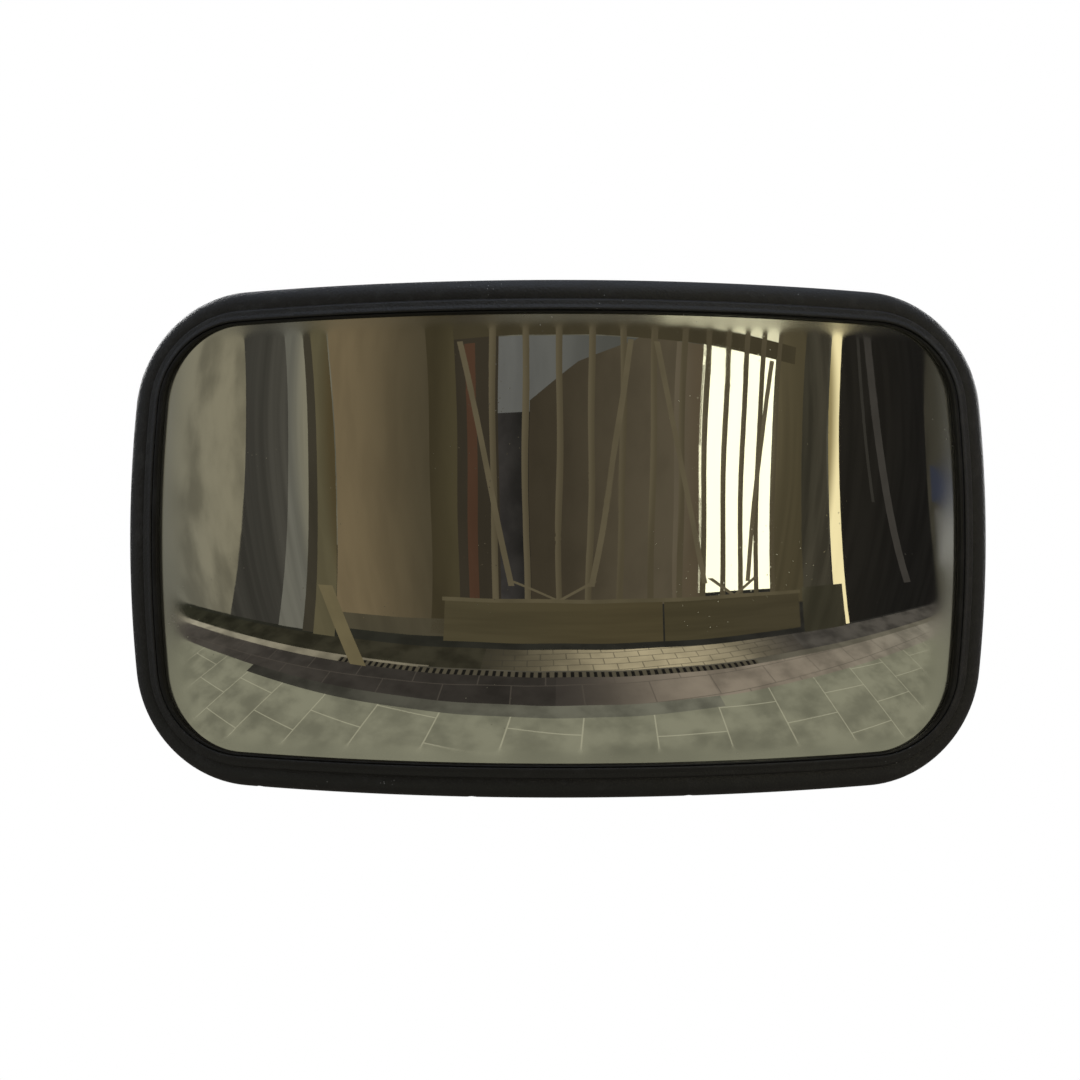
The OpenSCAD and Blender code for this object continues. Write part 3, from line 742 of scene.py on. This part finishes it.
def ring_finish():
    """Plain dark grey moulding."""
    f = Finish("ring_plastic")
    mottle = f.cloud(60, 4)
    grey = f.mix(mottle, paint(0.04, 0.04, 0.043), paint(0.06, 0.06, 0.064))
    return f.coat(grey, 0.45 + 0.15 * mottle, f.cloud(700), 0.00008)


SCREW_HEAD_R, SCREW_HEAD, SCREW_OUT, SCREW_SEAT = 3.3, 2.2, 12.2, -16.1


def pan_head(sides=96, rings=22):
    """A domed head with a cross recess. Its height is 2.2 - 0.9 f⁴ at f of its radius, less about a
    millimetre at the middle of the cross, whose arms are 1 mm wide and shallower further out."""
    f = np.linspace(0, 1, rings)[:, None]
    a = np.linspace(0, 2 * np.pi, sides, endpoint=False)
    r = SCREW_HEAD_R * f
    arm = np.minimum(np.abs(r * np.cos(a)), np.abs(r * np.sin(a)))
    recess = np.clip((0.6 - arm) / 0.2, 0, 1) * np.clip((2.0 - r) / 0.25, 0, 1) * (1.1 - 0.3 * r)
    top = SCREW_HEAD - 0.9 * f**4 - recess
    rows = np.stack([r * np.cos(a), r * np.sin(a), top + 0 * a], -1)
    return np.concatenate([rows, turned([[SCREW_HEAD_R, 0.2], [SCREW_HEAD_R - 0.2, 0], [0, 0]], sides)])


corner_stops = np.array([1.5, 4.5, 7.5, 10.5])
edge_stops = np.array([2 + 5 / 9, 4 - 5 / 9, 8 + 5 / 9, 10 - 5 / 9])
screw_t = np.concatenate([[0, 6], corner_stops, edge_stops])
seats = on_dome(screw_t, np.array([SCREW_OUT]), np.array([SCREW_SEAT]))[:, 0]
fronts = unit(seats - [0, dome_centre, 0])
screws = [stand(pan_head(), seat, (-front[2], 0, front[0]), -front) for seat, front in zip(seats, fronts)]
fit(grid_mesh("rim_screws_driven", *screws), "head", "screw_steel", screw_finish(), "rim_screws")
dress(ring_finish(), "clamp_ring")


# ---- Reflector ----
# A 3 mm acrylic sheet blown to a 500 mm sphere, trimmed to the oblong and silvered behind. Being
# drawn from a flat sheet, it ripples very slightly, and it has hazed round its edge.
def panel_rows(rings=56):
    """Front rows from the middle out to the trimmed edge, then back rows in again. Each point is
    `share` of the way out to the edge, on the sphere, plus ripples of a few hundredths of a mm."""
    edge = outline(stations(2.6), half_w, half_h, CORNER_R)
    margin = 4.0
    trim = edge[:, :2] + margin * edge[:, 2:]
    rows = []
    for radius, share in ((DOME_R, np.linspace(0, 1, rings)), (DOME_R - 3, np.linspace(1, 0, 8))):
        x, z = (share[:, None] * trim[:, k] for k in (0, 1))
        ripple = 0.03 * np.sin(x / 31 + 1.3 * np.sin(z / 47)) * np.cos(z / 38 + 0.4)
        ripple += 0.008 * np.sin(x / 11.0 + z / 17.0 + 2 * np.sin(x / 60))
        rows.append(np.stack([x, dome_centre - np.sqrt(radius**2 - x**2 - z**2) + ripple, z], -1))
    return np.concatenate(rows)


def reflector_finish():
    """Silvered acrylic: a slightly warm mirror, hazed near its edges, with dust and wiped smears."""
    f = Finish("reflector", Metallic=1.0, Coat_Weight=0.25, Coat_Roughness=0.03)
    x, z = (abs(f.node("SeparateXYZ", {}, {"Vector": f.place()}, axis)) for axis in "XZ")
    ends = f.ease(x + z * z * (0.5 / (BOW_SIDE_R * MM)), (half_w - 26) * MM, (half_w - 2) * MM)
    sides = f.ease(z + x * x * (0.5 / (BOW_TOP_R * MM)), (half_h - 13) * MM, (half_h - 1) * MM)
    edge = ends | sides * 0.8
    smear = f.ease(f.cloud(26, 7, (1, 1, 0.45)), 0.52, 0.78)
    specks = f.ease(f.cells(260), 0.12, 0.05) * f.ease(f.cloud(30, 3), 0.56, 0.66)
    tint = f.mix(edge * 0.5, paint(0.80, 0.80, 0.745), paint(0.66, 0.67, 0.62))
    colour = f.mix(specks * 0.35 + smear * 0.05, tint, paint(0.55, 0.53, 0.47))
    return f.coat(colour, 0.012 + edge * edge * 0.2 + smear * 0.02 + specks * 0.3, smear, 0.000004)


panel = grid_mesh("mirror_panel_silvered", panel_rows(), sharp=50)
fit(panel, "head", "reflector", reflector_finish(), "mirror_panel")


# ---- Face gasket ----
# A black rubber channel pressed round the reflector's edge. Its inner lip stands out between the
# reflector and the rim, and keeps rain and dust out of the joint.
def ring_rows(profile, t):
    """A closed profile [u, n] carried round the reflector's edge, as rows one to a station."""
    return on_dome(t, profile[:, 0], profile[:, 1])


def gasket_rows(profile, t):
    """The gasket's rows. Its lip, the part in front of n = 0 and within u = 1.25, is 1.4 mm lower, a
    little thinner and further out along the long edges, and thicker to both sides at the ends."""
    facing = outline(t, half_w, half_h, CORNER_R)[:, 2:]
    long_side = (facing[:, 1] ** 2 - facing[:, 0] ** 2)[:, None]
    level, lip = ring_rows(profile, t), (profile[:, 0] < 1.25) & (profile[:, 1] > 0)
    x_dir, n_dir = (ring_rows(step, t)[:, 0] - on_dome(t, *ZERO)[:, 0] for step in (STEP_U, STEP_N))
    inner = profile[:, 0] < 0.6
    out = np.where(inner, 0.2 + 1.2 * long_side, 1.0 + 0.2 * long_side) * lip
    drop = -0.7 * (1 + long_side) * (lip & (profile[:, 1] > 2))
    return level + out[..., None] * x_dir[:, None] + drop[..., None] * n_dir[:, None]


def rubber_finish():
    """Matt black rubber, a little grey with bloom and dust."""
    f = Finish("gasket_rubber", IOR=1.45)
    bloom = f.ease(f.cloud(80, 8), 0.45, 0.75)
    black = f.mix(bloom * 0.6, paint(0.008, 0.008, 0.008), paint(0.03, 0.029, 0.026))
    return f.coat(black, 0.42 + 0.25 * bloom, f.cloud(900, 3), 0.00006)


gasket_corners = [
    [3.0, 0.15], [0.0, 0.15], [0.0, 3.1], [0.35, 3.5], [0.9, 3.5], [1.2, 3.1], [1.2, 1.5], [8.2, 1.5],
    [8.2, -5.2], [0.6, -5.2], [0.6, -3.15], [6.4, -3.15], [6.4, 0.15], [3.0, 0.15],
]
ZERO = np.zeros((2, 1))
STEP_U, STEP_N = np.array([[1.0, 0.0]]), np.array([[0.0, 1.0]])
gasket = gasket_rows(eased(gasket_corners, 0.3, 2), stations(2.6))
gasket = grid_mesh("face_gasket_moulded", gasket, wrap_rows=True, sharp=60)
fit(gasket, "head", "gasket_rubber", rubber_finish(), "face_gasket")


# ---- Front rim ----
# One black moulding with a fat round bead outside, a groove, and a ridge inside that laps the gasket.
# The bead has a leathery grain, and four small weep notches let water out underneath.
WEEP_R, WEEP_DEEP, WEEP_PITCH, WEEP_SHIFT = 3.0, 3.0, 125.0, 12.5
WEEP_FLOOR, WEEP_TOP, WEEP_N = 20.5, 30.0, -5.6
weep_x = WEEP_SHIFT + (np.arange(4) - 1.5) * WEEP_PITCH
below = fine_t >= 6
weep_s = np.interp(weep_x, fine[below, 0], fine_s[below])
near_weeps = [s + np.arange(-4, 4, 0.3) for s in weep_s]


def rim_profile():
    """The rim's section: its inner wall, the back of its flange, the bead as an arc that runs down
    into a groove, and then a low ridge and the lip that laps the gasket."""
    bead_from = np.arcsin((RIM_BACK - BEAD_N) / BEAD_R)
    a = np.linspace(bead_from, np.radians(112), 60)
    bead = np.stack([BEAD_U + BEAD_R * np.cos(a), BEAD_N + BEAD_R * np.sin(a)], 1)
    inner = eased([[4, 1.6], [8.6, 1.6], [8.6, -13.6], [16.6, -13.6], [16.6, RIM_BACK], bead[0]], 0.4, 2)
    band = [
        bead[-1], [9.7, 0.45], [8.9, 2.1], [8.2, 2.6], [5.6, 2.8],
        [4.4, 3.3], [3.2, 3.6], [2.6, 3.2], [2.6, 1.6], [4, 1.6],
    ]
    band = eased(band, 1.2, 6)
    return np.concatenate([inner, bead[1:-1], band])


def cut_weeps(rows):
    """Presses a round notch into the bead at each weep: points within its radius of an axis that
    points out of the bead go no further out than its floor, up to a wall half a mm thick."""
    t = np.interp(weep_s, fine_s, fine_t)
    floors, tops = (on_dome(t, np.array([u]), np.array([WEEP_N]))[:, 0] for u in (WEEP_FLOOR, WEEP_TOP))
    for floor, axis in zip(floors, unit(tops - floors)):
        reach = (rows - floor) @ axis
        off = np.linalg.norm(rows - floor - reach[..., None] * axis, axis=-1)
        limit = 2 * WEEP_DEEP * np.clip((off - WEEP_R + 0.5) / 0.5, 0, 1)
        over = np.where((reach > 0) & (off < WEEP_R), np.maximum(reach - limit, 0), 0)
        rows = rows - axis * over[..., None]
    return rows


def rim_finish():
    """Black moulded plastic with a leathery grain that glints, dust in the grain and in the groove,
    and a few pale specks painted into its colour as glints."""
    f = Finish("rim_plastic", IOR=1.5)
    grain = f.cells(760) + 0.6 * f.cloud(1500, 3)
    patches = f.cloud(11, 5)
    dust = f.ease(f.cloud(140, 9), 0.5, 0.75)
    cool = f.mix(patches, paint(0.019, 0.020, 0.021), paint(0.027, 0.026, 0.023))
    # Painted glints: pale specks scattered at random over the rim's colour.
    specks = f.ease(f.cells(310), 0.10, 0.05) * f.ease(f.cloud(24, 2), 0.60, 0.66)
    dusty = f.mix(dust * 0.22, cool, paint(0.10, 0.098, 0.09))
    colour = f.mix(specks * 0.8, dusty, paint(0.62, 0.62, 0.60))
    return f.coat(colour, 0.40 + 0.16 * patches + 0.2 * dust, grain, 0.0002)


rim = cut_weeps(ring_rows(rim_profile(), stations(2.6, near_weeps)))
rim = grid_mesh("front_rim_moulded", rim, wrap_rows=True, sharp=60)
fit(rim, "head", "rim_plastic", rim_finish(), "front_rim")


# ---- Studio ----
# A wide pale floor, soft lights, and flats seen only in reflections. The flats glow though they are
# no lamps, and paint a quiet yard into the reflector: posts, slats, a plinth and paving, with its
# sunlight and shadows painted in. None of it is part of the mirror.
LEAN = np.radians(16)


class Set:
    """The flats, which glow with painted light. Their axes lean so that the reflector looks 16 degrees
    down at them: x right, the distance from the reflector, and height, in metres."""

    def __init__(self):
        self.count = 0

    def bowed(self, x, height):
        """Tall flats bow out above and below eye level, and beyond 2 m they lean inwards, so that
        they look straight in the dome: x (1 + 0.045 m h²) less 0.12 h times what lies beyond 2 m,
        where m is the size of x but at most 1."""
        beyond = np.sign(x) * max(abs(x) - 2.0, 0)
        return x * (1 + 0.045 * min(abs(x), 1.0) * height**2) - 0.12 * beyond * height

    def shape(self, corners, glow, mottle, grain, joints):
        name = f"flat_{self.count}"
        self.count += 1
        mesh = bpy.data.meshes.new(name)
        points = [(x, -away, height) for x, away, height in corners]
        mesh.from_pydata(points, [], [range(len(points))])
        work = bmesh.new()
        work.from_mesh(mesh)
        if corners[0][2] != corners[-1][2]:
            for height in np.arange(-2.0, 2.6, 0.25):
                cut = [*work.verts, *work.edges, *work.faces]
                bmesh.ops.bisect_plane(work, geom=cut, plane_co=(0, 0, height), plane_no=(0, 0, 1))
            for vert in work.verts:
                vert.co.x = self.bowed(vert.co.x, min(vert.co.z, 2.2))
        work.to_mesh(mesh)
        work.free()
        f = Finish(name)
        first, second = glow if isinstance(glow[0], tuple) else (glow, glow)
        x = f.node("SeparateXYZ", {}, {"Vector": f.place()}, "X")
        ends = [corner[0] for corner in corners]
        shade = f.mix(f.ease(x, min(ends), max(ends)), paint(*first), paint(*second))
        dim = f.mix(0.6, shade, paint(0, 0, 0))
        shade = f.mix(f.ease(f.cloud(3, 6, grain), 0.35, 0.68) * mottle, shade, dim)
        if joints:
            turn, long, wide, dark, half, strength = (*joints, 0.007, 0.6)[:6]
            rotation = (0, 0, np.radians(turn))
            laid = f.node("Mapping", {}, {"Vector": f.place(), "Rotation": rotation})
            sizes = {"Brick Width": long, "Row Height": wide, "Mortar Size": half, "Mortar Smooth": 0.4}
            plain = {"Color1": paint(0, 0, 0), "Color2": paint(0.12, 0.12, 0.12), "Mortar": paint(1, 1, 1)}
            joint = f.node("TexBrick", {}, {"Vector": laid, "Scale": 1.0, **sizes, **plain})
            shade = f.mix(joint * strength, shade, paint(*dark))
        glow = f.node("Emission", {}, {"Color": shade}, "Emission")
        f.join(f.tree.nodes["Material Output"], {"Surface": glow})
        mesh.materials.append(f.material)
        flat = bpy.data.objects.new(name, mesh)
        bpy.context.scene.collection.objects.link(flat)
        flat.location = (0, cad_low.y, 0)
        flat.rotation_euler = (-LEAN, 0, 0)
        flat.visible_camera = False
        flat.visible_diffuse = False
        flat.visible_shadow = False

    def upright(self, left, right, low, high, glow, away=3.0, mottle=0.3, grain=(1, 1, 0.2)):
        corners = [(left, away, low), (right, away, low), (right, away, high), (left, away, high)]
        self.shape(corners, glow, mottle, grain, None)

    def brace(self, x0, z0, x1, z1, glow, width=0.05, away=2.98):
        corners = [(x0, away, z0), (x0 + width, away, z0), (x1 + width, away, z1), (x1, away, z1)]
        self.shape(corners, glow, 0.2, (1, 1, 1), None)

    def mat(self, near, far, glow, left=-7.0, right=7.0, mottle=0.4, joints=None):
        level = -2.0 + 0.0001 * self.count
        corners = [(left, near, level), (right, near, level), (right, far, level), (left, far, level)]
        self.shape(corners, glow, mottle, (1, 1, 1), joints)


# Painted light: the flats' glows paint the yard's sunlight and shade. The cream glow, brighter than white,
# paints sunlit bars, sunlit paints paving in sunshine, and shade paints a post in shadow.
olive, timber, shade = (0.085, 0.07, 0.04), (0.13, 0.108, 0.068), (0.058, 0.047, 0.026)
sunlit_cream, sunlit, stone = (1.7, 1.65, 1.2), (0.52, 0.44, 0.29), (0.30, 0.25, 0.20)
setts = (3, 0.24, 0.1, (0.05, 0.045, 0.035))
yard = Set()
yard.upright(-12, 12, -4, 6, ((0.24, 0.23, 0.18), (0.07, 0.065, 0.05)), 6.5, 0.7)
yard.upright(-7.5, -3.55, -2.2, 5, ((0.22, 0.215, 0.18), (0.27, 0.245, 0.175)), 3.06, 0.7, (0.45, 1, 0.3))
yard.upright(-3.6, -2.75, -2.1, 5, ((0.055, 0.052, 0.045), (0.085, 0.08, 0.068)), 3.05, 0.5, (2, 1, 0.05))
yard.upright(-2.8, -2.45, -2.0, 5, ((0.17, 0.165, 0.14), (0.27, 0.25, 0.185)), 3.04, 0.35, (2, 1, 0.1))
yard.upright(-2.47, -2.3, -2.0, 5, (0.055, 0.048, 0.034))
yard.upright(-2.33, -2.1, -2.3, 5, ((0.13, 0.112, 0.065), (0.095, 0.072, 0.035)), 2.97)
yard.brace(-2.05, -1.15, -1.72, -2.0, (0.17, 0.14, 0.078), 0.16, 2.5)
yard.upright(-2.12, -1.08, -1.8, 5, ((0.19, 0.145, 0.085), (0.083, 0.068, 0.042)), 3.02, 0.2, (1.5, 1, 0.3))
yard.upright(-2.35, -0.98, -1.88, -1.68, (0.085, 0.073, 0.048), 3.0)
yard.upright(-1.1, -0.85, -1.85, 5, (shade, (0.075, 0.062, 0.034)))
yard.upright(-0.9, -0.5, -1.6, 5, (0.045, 0.037, 0.026), 3.1)
yard.upright(-0.78, -0.69, -1.6, 0.9, (0.085, 0.045, 0.028), 3.08)
yard.upright(-0.6, 0.75, 0.2, 1.0, ((0.15, 0.15, 0.145), (0.10, 0.10, 0.09)), 3.3)
yard.upright(-0.6, -0.2, -1.6, 0.25, ((0.055, 0.05, 0.048), (0.02, 0.019, 0.017)), 3.25, 0.7, (1, 1, 0.7))
low_wall = [(-0.24, -1.6), (1.1, -1.6), (1.1, 1.3), (0.7, 0.95), (0.2, 0.72), (-0.24, 0.35)]
low_wall = [(x, 3.2, height) for x, height in low_wall]
yard.shape(low_wall, ((0.052, 0.042, 0.028), (0.105, 0.086, 0.058)), 0.25, (1, 1, 0.5), None)
yard.upright(1.05, 1.32, -1.6, 0.95, ((0.14, 0.115, 0.08), (0.11, 0.085, 0.055)), 3.1)
yard.upright(1.3, 2.1, -1.45, 5, sunlit_cream, 3.1, 0.1)
yard.upright(0.9, 2.1, 1.1, 5, (0.9, 0.85, 0.6), 3.05, 0.2)
yard.upright(2.06, 2.45, -1.6, 5, ((0.115, 0.095, 0.055), olive), 3.02, 0.4, (2, 1, 0.1))
yard.upright(2.42, 2.84, -1.6, 5, ((0.05, 0.045, 0.032), (0.07, 0.062, 0.045)), 3.03, 0.6, (2, 1, 0.2))
yard.upright(2.84, 3.02, -2.1, 5, ((0.35, 0.28, 0.13), (1.1, 0.95, 0.55)), 3.0, 0.1)
yard.upright(3.0, 5.2, -2.1, 5, ((0.02, 0.018, 0.015), (0.014, 0.013, 0.012)), 3.02, 0.4, (2, 1, 0.2))
yard.upright(5.1, 8.0, -2.1, 5, ((0.055, 0.05, 0.038), (0.16, 0.15, 0.115)), 3.03, 0.5)
yard.upright(5.4, 8.0, -1.3, -0.4, ((0.10, 0.095, 0.09), (0.75, 0.74, 0.70)), 3.0)
yard.upright(5.3, 8.0, -0.3, 0.2, ((0.04, 0.045, 0.07), (0.10, 0.12, 0.24)), 3.0)
yard.brace(3.4, 1.6, 4.15, -1.5, (0.055, 0.05, 0.045), 0.17)
yard.brace(3.25, 1.6, 3.6, -0.4, (0.04, 0.037, 0.032), 0.06)
for x in (-0.56, -0.285, 0.0, 0.27, 0.535, 0.8, 1.06, 1.28, 1.48, 1.67, 1.85, 2.04):
    yard.upright(x, x + 0.055, -1.45, 5, (timber, (0.095, 0.078, 0.048)), 2.99, 0.2)
yard.upright(-0.85, 2.3, 0.93, 1.12, (0.062, 0.051, 0.03), 3.01)
for x0, x1 in ((-0.82, -0.42), (0.6, 0.3), (0.82, 1.3), (1.95, 1.75)):
    yard.brace(x0, 0.9, x1, -1.3, timber)
for x0, x1 in ((-0.42, 0.0), (0.32, 0.0), (1.35, 1.6), (1.85, 1.6)):
    yard.brace(x0, -1.25, x1, -1.45, timber)
plinth_tones = ((0.082, 0.068, 0.038), (0.085, 0.068, 0.036), (0.075, 0.062, 0.034), (0.07, 0.058, 0.034))
yard.upright(-0.98, 0.93, -1.92, -1.45, plinth_tones[:2], 2.98, 0.3, (0.2, 1, 3))
yard.upright(0.945, 2.36, -1.92, -1.45, plinth_tones[2:], 2.98, 0.3, (0.2, 1, 3))
yard.upright(-1.0, 2.38, -1.47, -1.43, (0.12, 0.10, 0.06), 2.975)
yard.upright(2.4, 2.95, -2.0, -1.4, ((0.16, 0.145, 0.095), (0.05, 0.045, 0.03)), 2.97, 0.5)
# The paving mats, with patches of sunlight and shadow painted into their glow.
yard.mat(2.95, 7.0, ((0.03, 0.03, 0.022), (0.03, 0.028, 0.026)), mottle=0.5)
yard.mat(2.62, 2.98, ((0.03, 0.03, 0.02), (0.05, 0.045, 0.03)), -7, -0.6, 0.8)
yard.mat(2.62, 2.98, ((0.055, 0.048, 0.033), sunlit), -0.7, 1.0, 0.4, setts)
yard.mat(2.62, 2.98, (sunlit, (0.08, 0.07, 0.06)), 1.0, 2.7, 0.4, setts)
yard.mat(2.62, 2.98, (0.10, 0.09, 0.08), 2.7, 7, 0.8)
yard.mat(2.52, 2.64, ((0.50, 0.46, 0.36), (0.26, 0.23, 0.17)), -7, -1.2, 0.6)
yard.mat(2.50, 2.62, ((0.10, 0.09, 0.07), (0.20, 0.18, 0.14)), -1.3, 7, 0.5)
yard.mat(2.52, 2.60, (0.10, 0.087, 0.062), -2.2, 2.0, 0.1, (90, 9.0, 0.07, (0.012, 0.011, 0.01), 0.02, 1.0))
worn_flags = (2, 0.6, 0.3, (0.10, 0.085, 0.072))
yard.mat(2.1, 2.52, ((0.10, 0.088, 0.078), (0.04, 0.035, 0.031)), -7, 0.0, 0.6, worn_flags)
flags = (2, 0.6, 0.3, (0.10, 0.085, 0.07))
yard.mat(2.1, 2.52, ((0.05, 0.043, 0.038), stone), 0.0, 1.4, 0.3, flags)
yard.mat(2.1, 2.52, (stone, (0.30, 0.28, 0.23)), 1.4, 7.0, 0.6, flags)
slabs = (84, 0.6, 0.56, (0.5, 0.48, 0.36))
yard.mat(0.1, 2.12, ((0.26, 0.255, 0.19), (0.27, 0.265, 0.195)), mottle=0.6, joints=slabs)
# A painted shadow band across the paving.
yard.mat(1.98, 2.13, ((0.05, 0.047, 0.04), (0.20, 0.195, 0.155)), -3.2, 1.4, 0.7)


def pale_floor():
    """A wide pale floor well below the mirror, too even to show an edge against the background. It
    glows, a painted light that is dimmer within 4 m of the middle and white beyond 14 m.
    """
    mesh = bpy.data.meshes.new("floor")
    level = cad_low.z - 2.0
    outline_points = [(-16, -16, level), (16, -16, level), (16, 7, level), (-16, 7, level)]
    mesh.from_pydata(outline_points, [], [(0, 1, 2, 3)])
    f = Finish("floor", Emission_Strength=1.0)
    away = f.node("VectorMath", {"operation": "LENGTH"}, {0: f.place()}, "Value")
    glow = f.mix(f.ease(away, 4.0, 14.0), paint(0.55, 0.55, 0.55), paint(1, 1, 1))
    f.join(f.shader, {"Emission Color": glow})
    mesh.materials.append(f.coat(f.mix(f.cloud(2), paint(0.74, 0.74, 0.73), paint(0.80, 0.80, 0.79)), 0.8))
    floor = bpy.data.objects.new("floor", mesh)
    bpy.context.scene.collection.objects.link(floor)
    floor.visible_diffuse = False
    floor.visible_glossy = False


class Sky(Finish):
    """A world's nodes, made in the same way as a material's."""

    def __init__(self, name):
        self.world = bpy.data.worlds.new(name)
        self.world.use_nodes = True
        self.tree = self.world.node_tree


def studio_world():
    """White behind everything, while light falls softly from a cool ceiling over a dim warm floor."""
    f = Sky("studio")
    bpy.context.scene.world = f.world
    up = f.node("SeparateXYZ", {}, {"Vector": f.node("TexCoord", {}, {}, "Generated")}, "Z")
    share = f.node("MapRange", {}, {"Value": up, "From Min": -0.5})
    soft = f.tree.nodes["Background"]
    f.join(soft, {"Color": f.mix(share, paint(0.12, 0.11, 0.095), paint(0.33, 0.36, 0.42))})
    white = f.node("Background", {}, {"Color": paint(1, 1, 1)})
    seen = f.node("LightPath", {}, {}, "Is Camera Ray")
    both = f.node("MixShader", {}, {0: seen, 1: Wire(f, soft.outputs[0]), 2: white})
    f.join(f.tree.nodes["World Output"], {"Surface": both})


def soft_light(name, at, size, power, colour):
    """A square area light, in metres and watts, that faces the mirror."""
    light = bpy.data.lights.new(name, "AREA")
    light.size = size
    light.energy = power
    light.color = colour
    lamp = bpy.data.objects.new(name, light)
    bpy.context.scene.collection.objects.link(lamp)
    lamp.location = at
    away = np.array(at) - [0, -0.2, 0]
    tip = np.arctan2(np.hypot(away[0], away[1]), away[2])
    lamp.rotation_euler = (tip, 0, np.arctan2(away[0], -away[1]))
    return lamp


pale_floor()
studio_world()
soft_light("overhead", (0.0, -0.4, 2.4), 1.6, 5, (0.70, 0.80, 1.0))
soft_light("high_front", (0.0, -1.5, 2.1), 1.2, 2, (0.90, 0.92, 1.0))
soft_light("left_side", (-2.6, -0.5, 0.5), 1.4, 8, (1.0, 1.0, 0.95)).visible_glossy = False
soft_light("right_side", (2.6, -0.5, 0.2), 1.4, 13, (1.0, 0.78, 0.50)).visible_glossy = False
soft_light("behind_left", (-1.6, 2.2, 1.2), 1.4, 45, (1.0, 1.0, 1.0))
soft_light("behind_right", (1.8, 2.0, 0.8), 1.4, 30, (1.0, 1.0, 1.0))
